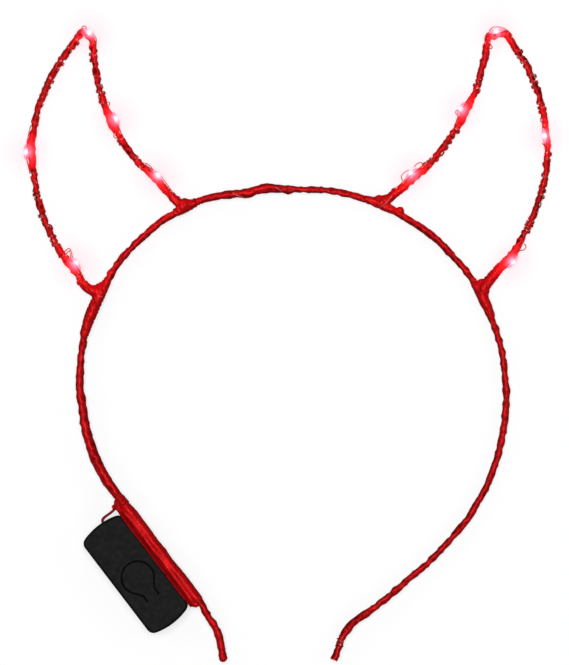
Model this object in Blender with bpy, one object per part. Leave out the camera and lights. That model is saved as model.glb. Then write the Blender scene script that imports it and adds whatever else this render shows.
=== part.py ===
# Devil horns headband: a hoop of ribbon-wrapped wire with two horns of lit, wrapped wire
# and a battery pack fastened to one side.
# It lies as on a table: X to the right, Y towards the horn tips, Z up.
# The pack's back lies on the surface, and the wires slope down from the pack's mid height
# until the far horn's tip touches it.

import math

import bmesh
import bpy
import numpy as np
from mathutils import Matrix, Vector

# Driving sizes in metres

HOOP_RADIUS = 0.0724
BAND_THICKNESS = 0.0024
HORN_TIP_HEIGHT = 0.1255
HORN_TIP_SPREAD = 0.0700
HORN_THICKNESS = 0.0022

WRAP_WALL = 0.0004
CLEARANCE = 0.0003

LED_LENGTH = 0.0037
LED_WIDTH = 0.0016

PACK_LENGTH = 0.0418
PACK_WIDTH = 0.0165
PACK_DEPTH = 0.0092
PACK_CROWN = 0.0016
PACK_CORNER = 0.0026
PACK_EDGE = 0.0008
PACK_STANDOFF = 0.0032

BUTTON_RADIUS = 0.0053
BUTTON_SLOT = 0.00035
BUTTON_NECK_WIDTH = 0.0042
BUTTON_NECK_START = 0.0061
BUTTON_NECK_END = 0.0082
BUTTON_OFFSET = 0.0013
BUTTON_THICKNESS = 0.0012
BUTTON_TRAVEL = 0.0006

WEB_THICKNESS = 0.0020
FLANGE_THICKNESS = 0.0008
FLANGE_HEIGHT = 0.0074

LEAD_THICKNESS = 0.0009
LEAD_INSERTION = 0.0015
LEAD_OFFSET = 0.0017

BAND_SIDES = 10
HORN_SIDES = 8
BAND_STEP_DEG = 3.0
LEG_STEPS = 40

# The hoop's centre line, by angle about the hoop's centre from +X, as seen from above.
# Columns: angle in degrees, reach / HOOP_RADIUS, thickness / BAND_THICKNESS

BAND_SECTIONS = (
    (-81.0, 1.220, 1.15),
    (-79.9, 1.179, 1.10),
    (-78.3, 1.125, 1.10),
    (-76.0, 1.083, 1.12),
    (-70.9, 1.047, 1.05),
    (-65.7, 1.018, 1.00),
    (-53.9, 0.984, 0.97),
    (-42.0, 0.977, 0.96),
    (-24.0, 0.987, 0.97),
    (-6.5, 0.995, 1.05),
    (11.4, 1.006, 0.97),
    (23.3, 1.014, 1.00),
    (35.3, 1.021, 1.00),
    (47.2, 1.020, 1.06),
    (59.3, 1.020, 1.00),
    (71.3, 1.017, 0.98),
    (83.4, 1.009, 1.02),
    (89.5, 1.004, 1.00),
    (95.5, 1.012, 1.12),
    (101.6, 1.014, 1.15),
    (107.7, 1.028, 1.10),
    (113.7, 1.045, 1.00),
    (125.9, 1.053, 1.05),
    (138.1, 1.054, 1.02),
    (150.2, 1.042, 1.00),
    (162.3, 1.032, 1.00),
    (174.5, 1.006, 1.20),
    (186.6, 0.982, 1.38),
    (198.7, 0.958, 1.48),
    (204.7, 0.941, 1.40),
    (210.0, 0.926, 1.05),
    (216.0, 0.917, 1.00),
    (222.7, 0.920, 1.00),
    (229.0, 0.936, 1.00),
    (235.1, 0.962, 1.00),
    (241.0, 1.002, 1.00),
    (245.6, 1.041, 1.05),
    (248.4, 1.077, 1.10),
    (251.1, 1.119, 1.10),
    (253.2, 1.183, 1.12),
    (254.9, 1.258, 1.20),
)

# The pack lies beside the band between these angles, abreast of the middle one
PACK_FROM_DEG = 213.0
PACK_MIDDLE_DEG = 229.0
PACK_TO_DEG = 241.0

# The four legs of the horns, each from the band to its horn's tip.
# Columns: name, root angle in degrees, tip across / HORN_TIP_SPREAD,
# tip height / HORN_TIP_HEIGHT, and the side to which it bows (1 is left of its run)

LEGS = (
    ("left_outer", 150.7, -1.025, 1.005, 1),
    ("left_inner", 119.3, -0.979, 0.986, 1),
    ("right_inner", 66.2, 0.947, 0.994, -1),
    ("right_outer", 30.4, 1.030, 1.002, -1),
)

# How far each leg bows from the straight line between its ends, as a share of that line.
# Columns: place along the line, left_outer, left_inner, right_inner, right_outer

LEG_BOWS = (
    (0.00, 0.000, 0.000, 0.000, 0.000),
    (0.03, 0.047, 0.010, 0.010, 0.014),
    (0.08, 0.080, 0.026, 0.027, 0.047),
    (0.16, 0.133, 0.047, 0.060, 0.101),
    (0.25, 0.175, 0.074, 0.085, 0.149),
    (0.35, 0.206, 0.099, 0.102, 0.182),
    (0.45, 0.219, 0.116, 0.111, 0.202),
    (0.55, 0.221, 0.121, 0.115, 0.205),
    (0.65, 0.208, 0.113, 0.107, 0.190),
    (0.75, 0.174, 0.088, 0.090, 0.160),
    (0.85, 0.122, 0.060, 0.059, 0.115),
    (0.93, 0.062, 0.028, 0.031, 0.058),
    (1.00, 0.000, 0.000, 0.000, 0.000),
)

# Thickness of every leg along its length.
# Columns: place along the leg, thickness / HORN_THICKNESS

LEG_THICKNESS = (
    (0.00, 1.10),
    (0.12, 1.05),
    (0.25, 1.00),
    (0.60, 0.97),
    (0.90, 1.00),
    (1.00, 1.05),
)

# Ribbon lashings where a leg meets the band.
# Columns: leg, start and end on the band in degrees, reach up the leg / leg length,
# thickness at the leg's root / HORN_THICKNESS

JOINTS = (
    ("left_outer", 148.2, 162.5, 0.078, 1.90),
    ("left_inner", 112.5, 121.8, 0.125, 1.95),
    ("right_inner", 62.4, 72.4, 0.125, 1.95),
    ("right_outer", 23.5, 34.5, 0.120, 1.90),
)

# Lights seated on the legs and on the short turn of wire at each tip. The turn is about
# the wire: 0 faces into the horn, 90 faces the front and 180 faces out of the horn.
# Columns: name, wire, place along the wire, turn in degrees

LIGHTS = (
    ("left_tip", "left_turn", 0.50, 125.0),
    ("left_outer_upper", "left_outer", 0.558, 170.0),
    ("left_outer_lower", "left_outer", 0.112, 25.0),
    ("left_inner_upper", "left_inner", 0.578, 165.0),
    ("left_inner_lower", "left_inner", 0.205, 140.0),
    ("right_tip", "right_turn", 0.50, 125.0),
    ("right_outer_upper", "right_outer", 0.625, 65.0),
    ("right_outer_lower", "right_outer", 0.145, 160.0),
    ("right_inner_upper", "right_inner", 0.622, 165.0),
    ("right_inner_lower", "right_inner", 0.205, 160.0),
)

# The ribbon round the band beside the pack.
# Columns: angle in degrees, radius / sleeve radius

SLEEVE_SECTIONS = (
    (207.6, 0.84),
    (209.2, 1.10),
    (210.8, 1.22),
    (213.0, 1.06),
    (217.0, 1.00),
    (229.0, 1.00),
    (240.0, 1.00),
    (243.0, 0.94),
    (245.0, 0.84),
)

# The ribbon web from the band to the pack's side.
# Columns: place along the pack / PACK_LENGTH, flange height / FLANGE_HEIGHT,
# web thickness / WEB_THICKNESS

WEB_SECTIONS = (
    (-0.455, 0.45, 1.15),
    (-0.400, 0.85, 1.00),
    (-0.250, 1.00, 0.90),
    (0.000, 1.00, 0.90),
    (0.250, 1.00, 0.95),
    (0.380, 0.80, 1.00),
    (0.455, 0.35, 1.05),
)

RED_RIBBON = ("red_ribbon", (0.43, 0.004, 0.006), 0.45)
CLEAR_EPOXY = ("lit_epoxy", (1.0, 0.55, 0.55), 0.15)
BLACK_PLASTIC = ("black_plastic", (0.012, 0.012, 0.013), 0.55)
RED_ENAMEL = ("red_enamel", (0.35, 0.01, 0.01), 0.3)


def clear_scene():
    for item in list(bpy.data.objects):
        bpy.data.objects.remove(item, do_unlink=True)


def get_material(finish):
    """Principled material of a finish: its name, colour and roughness."""
    name, colour, roughness = finish
    material = bpy.data.materials.get(name)
    if material is None:
        material = bpy.data.materials.new(name)
        material.use_nodes = True
        shader = material.node_tree.nodes["Principled BSDF"]
        shader.inputs["Base Color"].default_value = (*colour, 1.0)
        shader.inputs["Roughness"].default_value = roughness
    return material


def smooth_value(keys, values, at):
    """Value at a place in a table, on a smooth curve through the table's rows."""
    keys = np.asarray(keys, dtype=float)
    values = np.asarray(values, dtype=float)
    slopes = np.gradient(values, keys)
    row = int(np.clip(np.searchsorted(keys, at) - 1, 0, len(keys) - 2))
    span = keys[row + 1] - keys[row]
    t = (at - keys[row]) / span
    return float(
        values[row] * (2 * t**3 - 3 * t**2 + 1)
        + values[row + 1] * (3 * t**2 - 2 * t**3)
        + slopes[row] * span * (t**3 - 2 * t**2 + t)
        + slopes[row + 1] * span * (t**3 - t**2)
    )


def column(table, index):
    return [row[index] for row in table]


# The wires' routes, first as seen from above

def band_place(angle):
    """Centre of the band at an angle about the hoop's centre, seen from above."""
    reach = smooth_value(column(BAND_SECTIONS, 0), column(BAND_SECTIONS, 1), angle)
    turn = math.radians(angle)
    return Vector((math.cos(turn), math.sin(turn))) * reach * HOOP_RADIUS


def band_radius(angle):
    share = smooth_value(column(BAND_SECTIONS, 0), column(BAND_SECTIONS, 2), angle)
    return share * BAND_THICKNESS / 2


def leg_row(name):
    return next(row for row in LEGS if row[0] == name)


def leg_tip(name):
    _, _, tip_across, tip_up, _ = leg_row(name)
    return Vector((tip_across * HORN_TIP_SPREAD, tip_up * HORN_TIP_HEIGHT))


def leg_place(name, along):
    """Centre of a horn's leg, or of the turn between its tips, seen from above."""
    if name.endswith("turn"):
        outer = leg_tip(name.replace("turn", "outer"))
        return outer.lerp(leg_tip(name.replace("turn", "inner")), along)
    _, root_angle, _, _, side = leg_row(name)
    root = band_place(root_angle)
    line = leg_tip(name) - root
    left = Vector((-line.y, line.x))
    bows = column(LEG_BOWS, 1 + column(LEGS, 0).index(name))
    bow = smooth_value(column(LEG_BOWS, 0), bows, min(along, 1.0))
    return root + line * along + left * bow * side


def leg_radius(along):
    shares = column(LEG_THICKNESS, 1)
    share = smooth_value(column(LEG_THICKNESS, 0), shares, min(along, 1.0))
    return share * HORN_THICKNESS / 2


# The pack's place beside the band: x runs along it, y points from it to the hoop

PACK_X = (band_place(PACK_TO_DEG) - band_place(PACK_FROM_DEG)).normalized()
PACK_Y = Vector((-PACK_X.y, PACK_X.x))
PACK_CENTRE = band_place(PACK_MIDDLE_DEG) - PACK_Y * (PACK_WIDTH / 2 + PACK_STANDOFF)
WIRE_Y = PACK_WIDTH / 2 + PACK_STANDOFF


def distance_from_pack(place):
    """How far a place lies from the pack's centre line, towards the hoop."""
    return (place - PACK_CENTRE).dot(PACK_Y)


FARTHEST = max(
    distance_from_pack(leg_place(name, step / LEG_STEPS))
    for name in column(LEGS, 0)
    for step in range(LEG_STEPS + 1)
)


def on_wire_plane(place):
    """The place at the height of the wires there."""
    share = (distance_from_pack(place) - WIRE_Y) / (FARTHEST - WIRE_Y)
    middle = PACK_DEPTH / 2
    lowest = HORN_THICKNESS / 2 * max(column(LEG_THICKNESS, 1))
    return Vector((place.x, place.y, middle + (lowest - middle) * share))


def band_centre(angle):
    return on_wire_plane(band_place(angle))


def leg_centre(name, along):
    return on_wire_plane(leg_place(name, along))


def leg_direction(name, along):
    step = 0.5 / LEG_STEPS
    return (leg_centre(name, along + step) - leg_centre(name, along - step)).normalized()


def span(start, end, step):
    """Evenly spaced values from start to end, about a step apart."""
    count = max(2, math.ceil(abs(end - start) / step) + 1)
    return np.linspace(start, end, count)


# Making meshes

def ring_matrix(centre, direction):
    """Frame with its Z along the direction and its X level."""
    z = direction.normalized()
    x = z.cross(Vector((0, 0, 1))).normalized()
    y = z.cross(x)
    matrix = Matrix((x, y, z)).transposed().to_4x4()
    matrix.translation = centre
    return matrix


def bridge_rings(bm, rings):
    """Skin a row of closed rings of vertices and cap both ends."""
    for near, far in zip(rings, rings[1:]):
        edges = [edge for ring in (near, far) for edge in ring_edges(bm, ring)]
        bmesh.ops.bridge_loops(bm, edges=edges)
    for ring in (rings[0], rings[-1]):
        bmesh.ops.contextual_create(bm, geom=ring_edges(bm, ring))
    bmesh.ops.recalc_face_normals(bm, faces=bm.faces[:])


def ring_edges(bm, ring):
    return [bm.edges.get((ring[i - 1], ring[i])) for i in range(len(ring))]


def add_ring(bm, points):
    """A closed ring of vertices and edges through the points."""
    ring = [bm.verts.new(point) for point in points]
    for i in range(len(ring)):
        bm.edges.new((ring[i - 1], ring[i]))
    return ring


def add_object(name, bm, finish=None, parent=None):
    """Object of a finished bmesh. Without a finish it is a cutter."""
    mesh = bpy.data.meshes.new(name)
    bm.to_mesh(mesh)
    bm.free()
    item = bpy.data.objects.new(name, mesh)
    bpy.context.collection.objects.link(item)
    item.parent = parent
    if finish is None:
        item.hide_render = True
        item.display_type = "WIRE"
        return item
    mesh.materials.append(get_material(finish))
    mesh.shade_smooth()
    mesh.set_sharp_from_angle(angle=math.radians(40))
    return item


def tube(name, centres, radii, sides, finish=None, parent=None):
    """Round bar through the centres, its radius given at each of them."""
    bm = bmesh.new()
    rings = []
    for i, (centre, radius) in enumerate(zip(centres, radii)):
        ahead = centres[min(i + 1, len(centres) - 1)]
        behind = centres[max(i - 1, 0)]
        frame = ring_matrix(centre, ahead - behind)
        made = bmesh.ops.create_circle(bm, segments=sides, radius=radius, matrix=frame)
        rings.append(made["verts"])
    bridge_rings(bm, rings)
    return add_object(name, bm, finish, parent)


def combine(target, tool, operation):
    """Join a tool to the target or cut it out."""
    tool.hide_render = True
    tool.display_type = "WIRE"
    modifier = target.modifiers.new(tool.name, "BOOLEAN")
    modifier.operation = operation
    modifier.object = tool


# The band and its cutter

def band_tube(name, start, end, radius_at, finish=None, parent=None):
    angles = span(start, end, BAND_STEP_DEG)
    centres = [band_centre(angle) for angle in angles]
    radii = [radius_at(angle) for angle in angles]
    return tube(name, centres, radii, BAND_SIDES, finish, parent)


def make_band(parent):
    start = BAND_SECTIONS[0][0]
    end = BAND_SECTIONS[-1][0]
    return band_tube("band", start, end, band_radius, RED_RIBBON, parent)


def band_cutter(name, start, end, parent):
    """The band with its clearance, for what is wrapped round it or meets it."""
    return band_tube(name, start, end, lambda a: band_radius(a) + CLEARANCE, None, parent)


# The horns

def leg_tube(name, leg, start, end, radius_at, finish=None, parent=None):
    places = span(start, end, 1.0 / LEG_STEPS)
    centres = [leg_centre(leg, along) for along in places]
    radii = [radius_at(along) for along in places]
    return tube(name, centres, radii, HORN_SIDES, finish, parent)


def make_horn(side, parent):
    """Both legs of a horn and the short turn of wire between their tips."""
    outer = side + "_outer"
    inner = side + "_inner"
    horn = leg_tube("horn_" + side, outer, 0.0, 1.0, leg_radius, RED_RIBBON, parent)
    leg = leg_tube(inner + "_leg", inner, 0.0, 1.0, leg_radius, None, parent)
    combine(horn, leg, "UNION")
    ends = [leg_centre(outer, 1.0), leg_centre(inner, 1.0)]
    past = (ends[1] - ends[0]).normalized() * HORN_THICKNESS * 0.42
    ends = [ends[0] - past, ends[1] + past]
    turn = tube(side + "_turn", ends, [leg_radius(1.0) * 0.98] * 2, HORN_SIDES, None, parent)
    combine(horn, turn, "UNION")
    angles = sorted(leg_row(leg_name)[1] for leg_name in (outer, inner))
    cutter = band_cutter(side + "_band_cutter", angles[0] - 6, angles[1] + 6, parent)
    combine(horn, cutter, "DIFFERENCE")
    return horn


def make_joint(row, parent):
    """Ribbon lashing round the band and up a leg, hollow where the wires run."""
    leg, start, end, reach, swell = row
    outer_radius = max(band_radius(start), band_radius(end)) + CLEARANCE + WRAP_WALL
    name = "joint_" + leg
    joint = band_tube(name, start, end, lambda angle: outer_radius, RED_RIBBON, parent)
    root_radius = swell * HORN_THICKNESS / 2
    tip_radius = leg_radius(reach) + CLEARANCE + WRAP_WALL

    def sleeve_radius(along):
        return root_radius + (tip_radius - root_radius) * (along / reach) ** 0.7

    sleeve = leg_tube(name + "_sleeve", leg, 0.0, reach, sleeve_radius, None, parent)
    combine(joint, sleeve, "UNION")
    combine(joint, band_cutter(name + "_band", start - 4, end + 4, parent), "DIFFERENCE")
    bore = leg_tube(
        name + "_bore", leg, 0.0, reach + 0.06, lambda a: leg_radius(a) + CLEARANCE, None, parent
    )
    combine(joint, bore, "DIFFERENCE")
    return joint


def make_light(row, parent):
    """A long drop of epoxy, seated on its leg."""
    name, leg, along, turn = row
    frame = ring_matrix(leg_centre(leg, along), leg_direction(leg, along))
    into_horn = 1 if leg.startswith("left") != leg.endswith("inner") else -1
    angle = math.radians(turn)
    seat = leg_radius(along) + CLEARANCE + LED_WIDTH / 2
    offset = Vector((math.cos(angle) * into_horn, 0, 0))
    level = frame.to_3x3() @ offset
    push = (level + Vector((0, 0, math.sin(angle)))) * seat
    bm = bmesh.new()
    bmesh.ops.create_uvsphere(bm, u_segments=10, v_segments=7, radius=0.5)
    bmesh.ops.scale(bm, verts=bm.verts[:], vec=(LED_WIDTH, LED_WIDTH, LED_LENGTH))
    frame.translation = frame.translation + push
    bmesh.ops.transform(bm, verts=bm.verts[:], matrix=frame)
    return add_object("led_" + name, bm, CLEAR_EPOXY, parent)


# The battery pack, in its own frame: origin at the middle of its back

def arc(centre, radius, start, end, count):
    """Points on an arc in the plane, angles in degrees."""
    turns = np.radians(np.linspace(start, end, count))
    return [(centre[0] + radius * math.cos(t), centre[1] + radius * math.sin(t)) for t in turns]


def pack_outline(inset):
    """Outline of the pack: straight sides, bowed ends and rounded corners."""
    half = PACK_WIDTH / 2
    bow_radius = (half**2 + PACK_CROWN**2) / (2 * PACK_CROWN)
    bow_x = PACK_LENGTH / 2 - bow_radius
    corner_y = half - PACK_CORNER
    corner_x = bow_x + math.sqrt((bow_radius - PACK_CORNER) ** 2 - corner_y**2)
    meet = math.degrees(math.atan2(corner_y, corner_x - bow_x))
    end = arc((bow_x, 0), bow_radius - inset, -meet, meet, 7)
    corner = arc((corner_x, corner_y), PACK_CORNER - inset, meet, 90, 5)[1:]
    right = [(x, -y) for x, y in reversed(corner)] + end + corner
    return right + [(-x, -y) for x, y in right]


def make_case(parent):
    bm = bmesh.new()
    rings = []
    for level in (0, 1):
        for turn in (0, 45, 90):
            lean = math.radians(turn if level == 0 else 90 - turn)
            inset = PACK_EDGE * (1 - math.sin(lean))
            depth = PACK_EDGE * (1 - math.cos(lean))
            z = depth if level == 0 else PACK_DEPTH - depth
            rings.append(add_ring(bm, [(x, y, z) for x, y in pack_outline(inset)]))
    bridge_rings(bm, rings)
    return add_object("battery_case", bm, BLACK_PLASTIC, parent)


def button_outline(grow):
    """Round tongue and its neck, about the middle of the round part."""
    half = BUTTON_NECK_WIDTH / 2 + grow
    radius = BUTTON_RADIUS + grow
    mouth = math.degrees(math.asin((half + BUTTON_NECK_WIDTH * 0.35) / radius))
    tongue = arc((0, 0), radius, mouth, 360 - mouth, 25)
    end = BUTTON_NECK_END + grow
    neck = [(BUTTON_NECK_START, -half), (end, -half), (end, half), (BUTTON_NECK_START, half)]
    return tongue + neck


def add_prism(bm, outline, bottom, top):
    rings = [add_ring(bm, [(x, y, z) for x, y in outline]) for z in (bottom, top)]
    bridge_rings(bm, rings)


def make_button(case, parent):
    """Push button: a tongue that bends at its neck, its origin on the bend's axis."""
    hinge = Vector((BUTTON_OFFSET + BUTTON_NECK_END, 0, PACK_DEPTH - BUTTON_THICKNESS / 2))
    bm = bmesh.new()
    middle = (BUTTON_OFFSET, 0)
    outline = [(x + middle[0], y + middle[1]) for x, y in button_outline(0.0)]
    add_prism(bm, outline, PACK_DEPTH - BUTTON_THICKNESS, PACK_DEPTH)
    bmesh.ops.translate(bm, verts=bm.verts[:], vec=-hinge)
    button = add_object("push_button", bm, BLACK_PLASTIC, parent)
    button.location = hinge
    bm = bmesh.new()
    outline = [(x + middle[0], y + middle[1]) for x, y in button_outline(BUTTON_SLOT)]
    floor = PACK_DEPTH - BUTTON_THICKNESS - BUTTON_TRAVEL - CLEARANCE
    add_prism(bm, outline, floor, PACK_DEPTH + PACK_EDGE)
    combine(case, add_object("button_pocket", bm, None, parent), "DIFFERENCE")
    return button


def make_pack_wrap(pack, parent):
    """Ribbon round the band beside the pack, with a web out to the pack's side."""
    sleeve_radius = BAND_THICKNESS / 2 + CLEARANCE + WRAP_WALL
    angles = column(SLEEVE_SECTIONS, 0)
    shares = column(SLEEVE_SECTIONS, 1)

    def radius_at(angle):
        return sleeve_radius * smooth_value(angles, shares, angle)

    wrap = band_tube("pack_wrap", angles[0], angles[-1], radius_at, RED_RIBBON, parent)
    seat = PACK_WIDTH / 2 + CLEARANCE
    middle = PACK_DEPTH / 2
    bm = bmesh.new()
    rings = []
    for along, height_share, web_share in WEB_SECTIONS:
        flange = FLANGE_HEIGHT / 2 * height_share
        web = WEB_THICKNESS / 2 * web_share
        edge = max(flange - FLANGE_THICKNESS / 2, web * 1.2)
        lower = [
            (seat, -flange),
            (seat + FLANGE_THICKNESS, -edge),
            (seat + FLANGE_THICKNESS * 1.6, -web),
            (WIRE_Y, -web),
        ]
        upper = [(y, -z) for y, z in reversed(lower)]
        x = along * PACK_LENGTH
        rings.append(add_ring(bm, [(x, y, middle + z) for y, z in lower + upper]))
    bridge_rings(bm, rings)
    combine(wrap, add_object("web", bm, None, pack), "UNION")
    combine(wrap, band_cutter("wrap_band", angles[0] - 6, angles[-1] + 6, parent), "DIFFERENCE")
    return wrap


def lead_route():
    """The lead's centre line in the pack's frame, from the ribbon knot into the end wall."""
    end_x = -PACK_LENGTH / 2
    run_x = end_x - LEAD_THICKNESS / 2 - CLEARANCE * 1.5
    start_y = WIRE_Y - BAND_THICKNESS / 2 - CLEARANCE - WRAP_WALL - LEAD_THICKNESS
    places = (
        (run_x - LEAD_THICKNESS * 0.4, start_y),
        (run_x, start_y * 0.75 + LEAD_OFFSET * 0.25),
        (run_x, start_y * 0.35 + LEAD_OFFSET * 0.65),
        (run_x + LEAD_THICKNESS * 0.1, LEAD_OFFSET + LEAD_THICKNESS * 0.5),
        (run_x + LEAD_THICKNESS * 0.5, LEAD_OFFSET + LEAD_THICKNESS * 0.08),
        (end_x, LEAD_OFFSET),
        (end_x + LEAD_INSERTION, LEAD_OFFSET),
    )
    return [Vector((x, y, PACK_DEPTH / 2)) for x, y in places]


def make_lead(case, pack):
    route = lead_route()
    radius = LEAD_THICKNESS / 2
    lead = tube("lead_wire", route, [radius] * len(route), HORN_SIDES, RED_ENAMEL, pack)
    outside = route[-2] - Vector((LEAD_THICKNESS * 3, 0, 0))
    inside = route[-1] + Vector((CLEARANCE, 0, 0))
    hole = tube("lead_hole", [outside, inside], [radius + CLEARANCE] * 2, HORN_SIDES, None, pack)
    combine(case, hole, "DIFFERENCE")
    return lead


def stand_on_origin(items, frame):
    """Move the whole so that the origin is under the middle of its outer box."""
    bpy.context.view_layer.update()
    graph = bpy.context.evaluated_depsgraph_get()
    corners = []
    for item in items:
        shape = item.evaluated_get(graph)
        mesh = shape.to_mesh()
        corners += [item.matrix_world @ vertex.co for vertex in mesh.vertices]
        shape.to_mesh_clear()
    low = Vector([min(corner[axis] for corner in corners) for axis in range(3)])
    high = Vector([max(corner[axis] for corner in corners) for axis in range(3)])
    frame.location = (-(low.x + high.x) / 2, -(low.y + high.y) / 2, -low.z)
    bpy.context.view_layer.update()


def main():
    clear_scene()
    frame = bpy.data.objects.new("headband", None)
    bpy.context.collection.objects.link(frame)
    pack = bpy.data.objects.new("pack_place", None)
    bpy.context.collection.objects.link(pack)
    pack.parent = frame
    pack.location = (PACK_CENTRE.x, PACK_CENTRE.y, 0)
    pack.rotation_euler.z = math.atan2(PACK_X.y, PACK_X.x)

    items = [make_band(frame)]
    items += [make_horn(side, frame) for side in ("left", "right")]
    items += [make_joint(row, frame) for row in JOINTS]
    items += [make_light(row, frame) for row in LIGHTS]
    case = make_case(pack)
    items += [case, make_button(case, pack), make_pack_wrap(pack, frame), make_lead(case, pack)]
    stand_on_origin(items, frame)


main()
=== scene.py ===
import math

import bmesh
import bpy
import numpy as np
from bpy.props import FloatProperty, FloatVectorProperty, PointerProperty
from mathutils import Matrix, Vector


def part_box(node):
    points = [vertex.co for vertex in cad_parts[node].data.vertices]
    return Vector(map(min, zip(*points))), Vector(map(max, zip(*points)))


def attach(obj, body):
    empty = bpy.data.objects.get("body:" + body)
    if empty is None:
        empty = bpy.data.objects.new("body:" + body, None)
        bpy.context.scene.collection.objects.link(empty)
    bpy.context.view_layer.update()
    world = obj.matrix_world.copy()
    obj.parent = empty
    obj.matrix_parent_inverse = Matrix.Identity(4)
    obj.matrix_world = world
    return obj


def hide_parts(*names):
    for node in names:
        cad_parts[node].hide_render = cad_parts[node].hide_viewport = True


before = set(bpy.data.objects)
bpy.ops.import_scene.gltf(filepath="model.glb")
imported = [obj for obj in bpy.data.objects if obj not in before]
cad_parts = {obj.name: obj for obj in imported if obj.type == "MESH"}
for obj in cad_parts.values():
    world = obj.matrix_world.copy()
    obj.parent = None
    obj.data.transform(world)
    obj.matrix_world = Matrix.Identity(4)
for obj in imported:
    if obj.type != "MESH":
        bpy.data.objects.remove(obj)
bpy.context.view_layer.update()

bl_info = {
    "name": "Devil Horns Headband",
    "version": (1, 0, 0),
    "blender": (4, 5, 0),
    "location": "View3D > Sidebar > Headband",
    "description": "Ribbon, lights, battery pack and stage of a devil horns headband",
    "category": "Object",
}

MM = 0.001

# Sizes and routes of the wires, in metres, as the solids have them

HOOP_RADIUS = 0.0724
BAND_THICKNESS = 0.0024
HORN_TIP_HEIGHT = 0.1255
HORN_TIP_SPREAD = 0.0700
HORN_THICKNESS = 0.0022
PACK_LENGTH = 0.0418
PACK_WIDTH = 0.0165
PACK_DEPTH = 0.0092
PACK_CROWN = 0.0016
PACK_CORNER = 0.0026
PACK_STANDOFF = 0.0032
BUTTON_RADIUS = 0.0053
BUTTON_NECK_WIDTH = 0.0042
BUTTON_NECK_START = 0.0061
BUTTON_NECK_END = 0.0082
BUTTON_OFFSET = 0.0013
BUTTON_THICKNESS = 0.0012
BUTTON_POCKET = 0.0021
LEG_STEPS = 40

# Angle in degrees, reach / HOOP_RADIUS, thickness / BAND_THICKNESS
BAND = np.array((
    (-81.0, 1.220, 1.15), (-79.9, 1.179, 1.10), (-78.3, 1.125, 1.10), (-76.0, 1.083, 1.12),
    (-70.9, 1.047, 1.05), (-65.7, 1.018, 1.00), (-53.9, 0.984, 0.97), (-42.0, 0.977, 0.96),
    (-24.0, 0.987, 0.97), (-6.5, 0.995, 1.05), (11.4, 1.006, 0.97), (23.3, 1.014, 1.00),
    (35.3, 1.021, 1.00), (47.2, 1.020, 1.06), (59.3, 1.020, 1.00), (71.3, 1.017, 0.98),
    (83.4, 1.009, 1.02), (89.5, 1.004, 1.00), (95.5, 1.012, 1.12), (101.6, 1.014, 1.15),
    (107.7, 1.028, 1.10), (113.7, 1.045, 1.00), (125.9, 1.053, 1.05), (138.1, 1.054, 1.02),
    (150.2, 1.042, 1.00), (162.3, 1.032, 1.00), (174.5, 1.006, 1.20), (186.6, 0.982, 1.38),
    (198.7, 0.958, 1.48), (204.7, 0.941, 1.40), (210.0, 0.926, 1.05), (216.0, 0.917, 1.00),
    (222.7, 0.920, 1.00), (229.0, 0.936, 1.00), (235.1, 0.962, 1.00), (241.0, 1.002, 1.00),
    (245.6, 1.041, 1.05), (248.4, 1.077, 1.10), (251.1, 1.119, 1.10), (253.2, 1.183, 1.12),
    (254.9, 1.258, 1.20),
))
PACK_FROM_DEG = 213.0
PACK_MIDDLE_DEG = 229.0
PACK_TO_DEG = 241.0

# Root angle in degrees, tip across and up as shares of spread and height, side of the bow
LEGS = {
    "left_outer": (150.7, -1.025, 1.005, 1),
    "left_inner": (119.3, -0.979, 0.986, 1),
    "right_inner": (66.2, 0.947, 0.994, -1),
    "right_outer": (30.4, 1.030, 1.002, -1),
}

# Place along the line between a leg's ends, then how far each leg bows from it
LEG_BOWS = np.array((
    (0.00, 0.000, 0.000, 0.000, 0.000), (0.03, 0.047, 0.010, 0.010, 0.014),
    (0.08, 0.080, 0.026, 0.027, 0.047), (0.16, 0.133, 0.047, 0.060, 0.101),
    (0.25, 0.175, 0.074, 0.085, 0.149), (0.35, 0.206, 0.099, 0.102, 0.182),
    (0.45, 0.219, 0.116, 0.111, 0.202), (0.55, 0.221, 0.121, 0.115, 0.205),
    (0.65, 0.208, 0.113, 0.107, 0.190), (0.75, 0.174, 0.088, 0.090, 0.160),
    (0.85, 0.122, 0.060, 0.059, 0.115), (0.93, 0.062, 0.028, 0.031, 0.058),
    (1.00, 0.000, 0.000, 0.000, 0.000),
))
LEG_THICKNESS = np.array((
    (0.00, 1.10), (0.12, 1.05), (0.25, 1.00), (0.60, 0.97), (0.90, 1.00), (1.00, 1.05),
))

LIGHTS = {
    "left": ("left_outer_lower", "left_outer_upper", "left_tip", "left_inner_upper",
             "left_inner_lower"),
    "right": ("right_outer_lower", "right_outer_upper", "right_tip", "right_inner_upper",
              "right_inner_lower"),
}

# How far the strands run straight on either side of each light, in mm along the horn
LIGHT_SPANS = {
    "left_outer_lower": (4.2, 4.6),
    "left_outer_upper": (6.8, 8.6),
    "left_tip": (3.2, 5.6),
    "left_inner_upper": (4.8, 5.6),
    "left_inner_lower": (5.6, 7.6),
    "right_outer_lower": (4.8, 6.4),
    "right_outer_upper": (5.0, 4.6),
    "right_tip": (3.4, 5.2),
    "right_inner_upper": (5.0, 5.6),
    "right_inner_lower": (5.0, 7.4),
}


def property_float(name, text, value, unit="LENGTH"):
    return FloatProperty(name=name, description=text, default=value, unit=unit, precision=5)


def property_colour(name, text, value):
    return FloatVectorProperty(
        name=name, description=text, default=value, subtype="COLOR", size=3, min=0.0, max=1.0
    )


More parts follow.
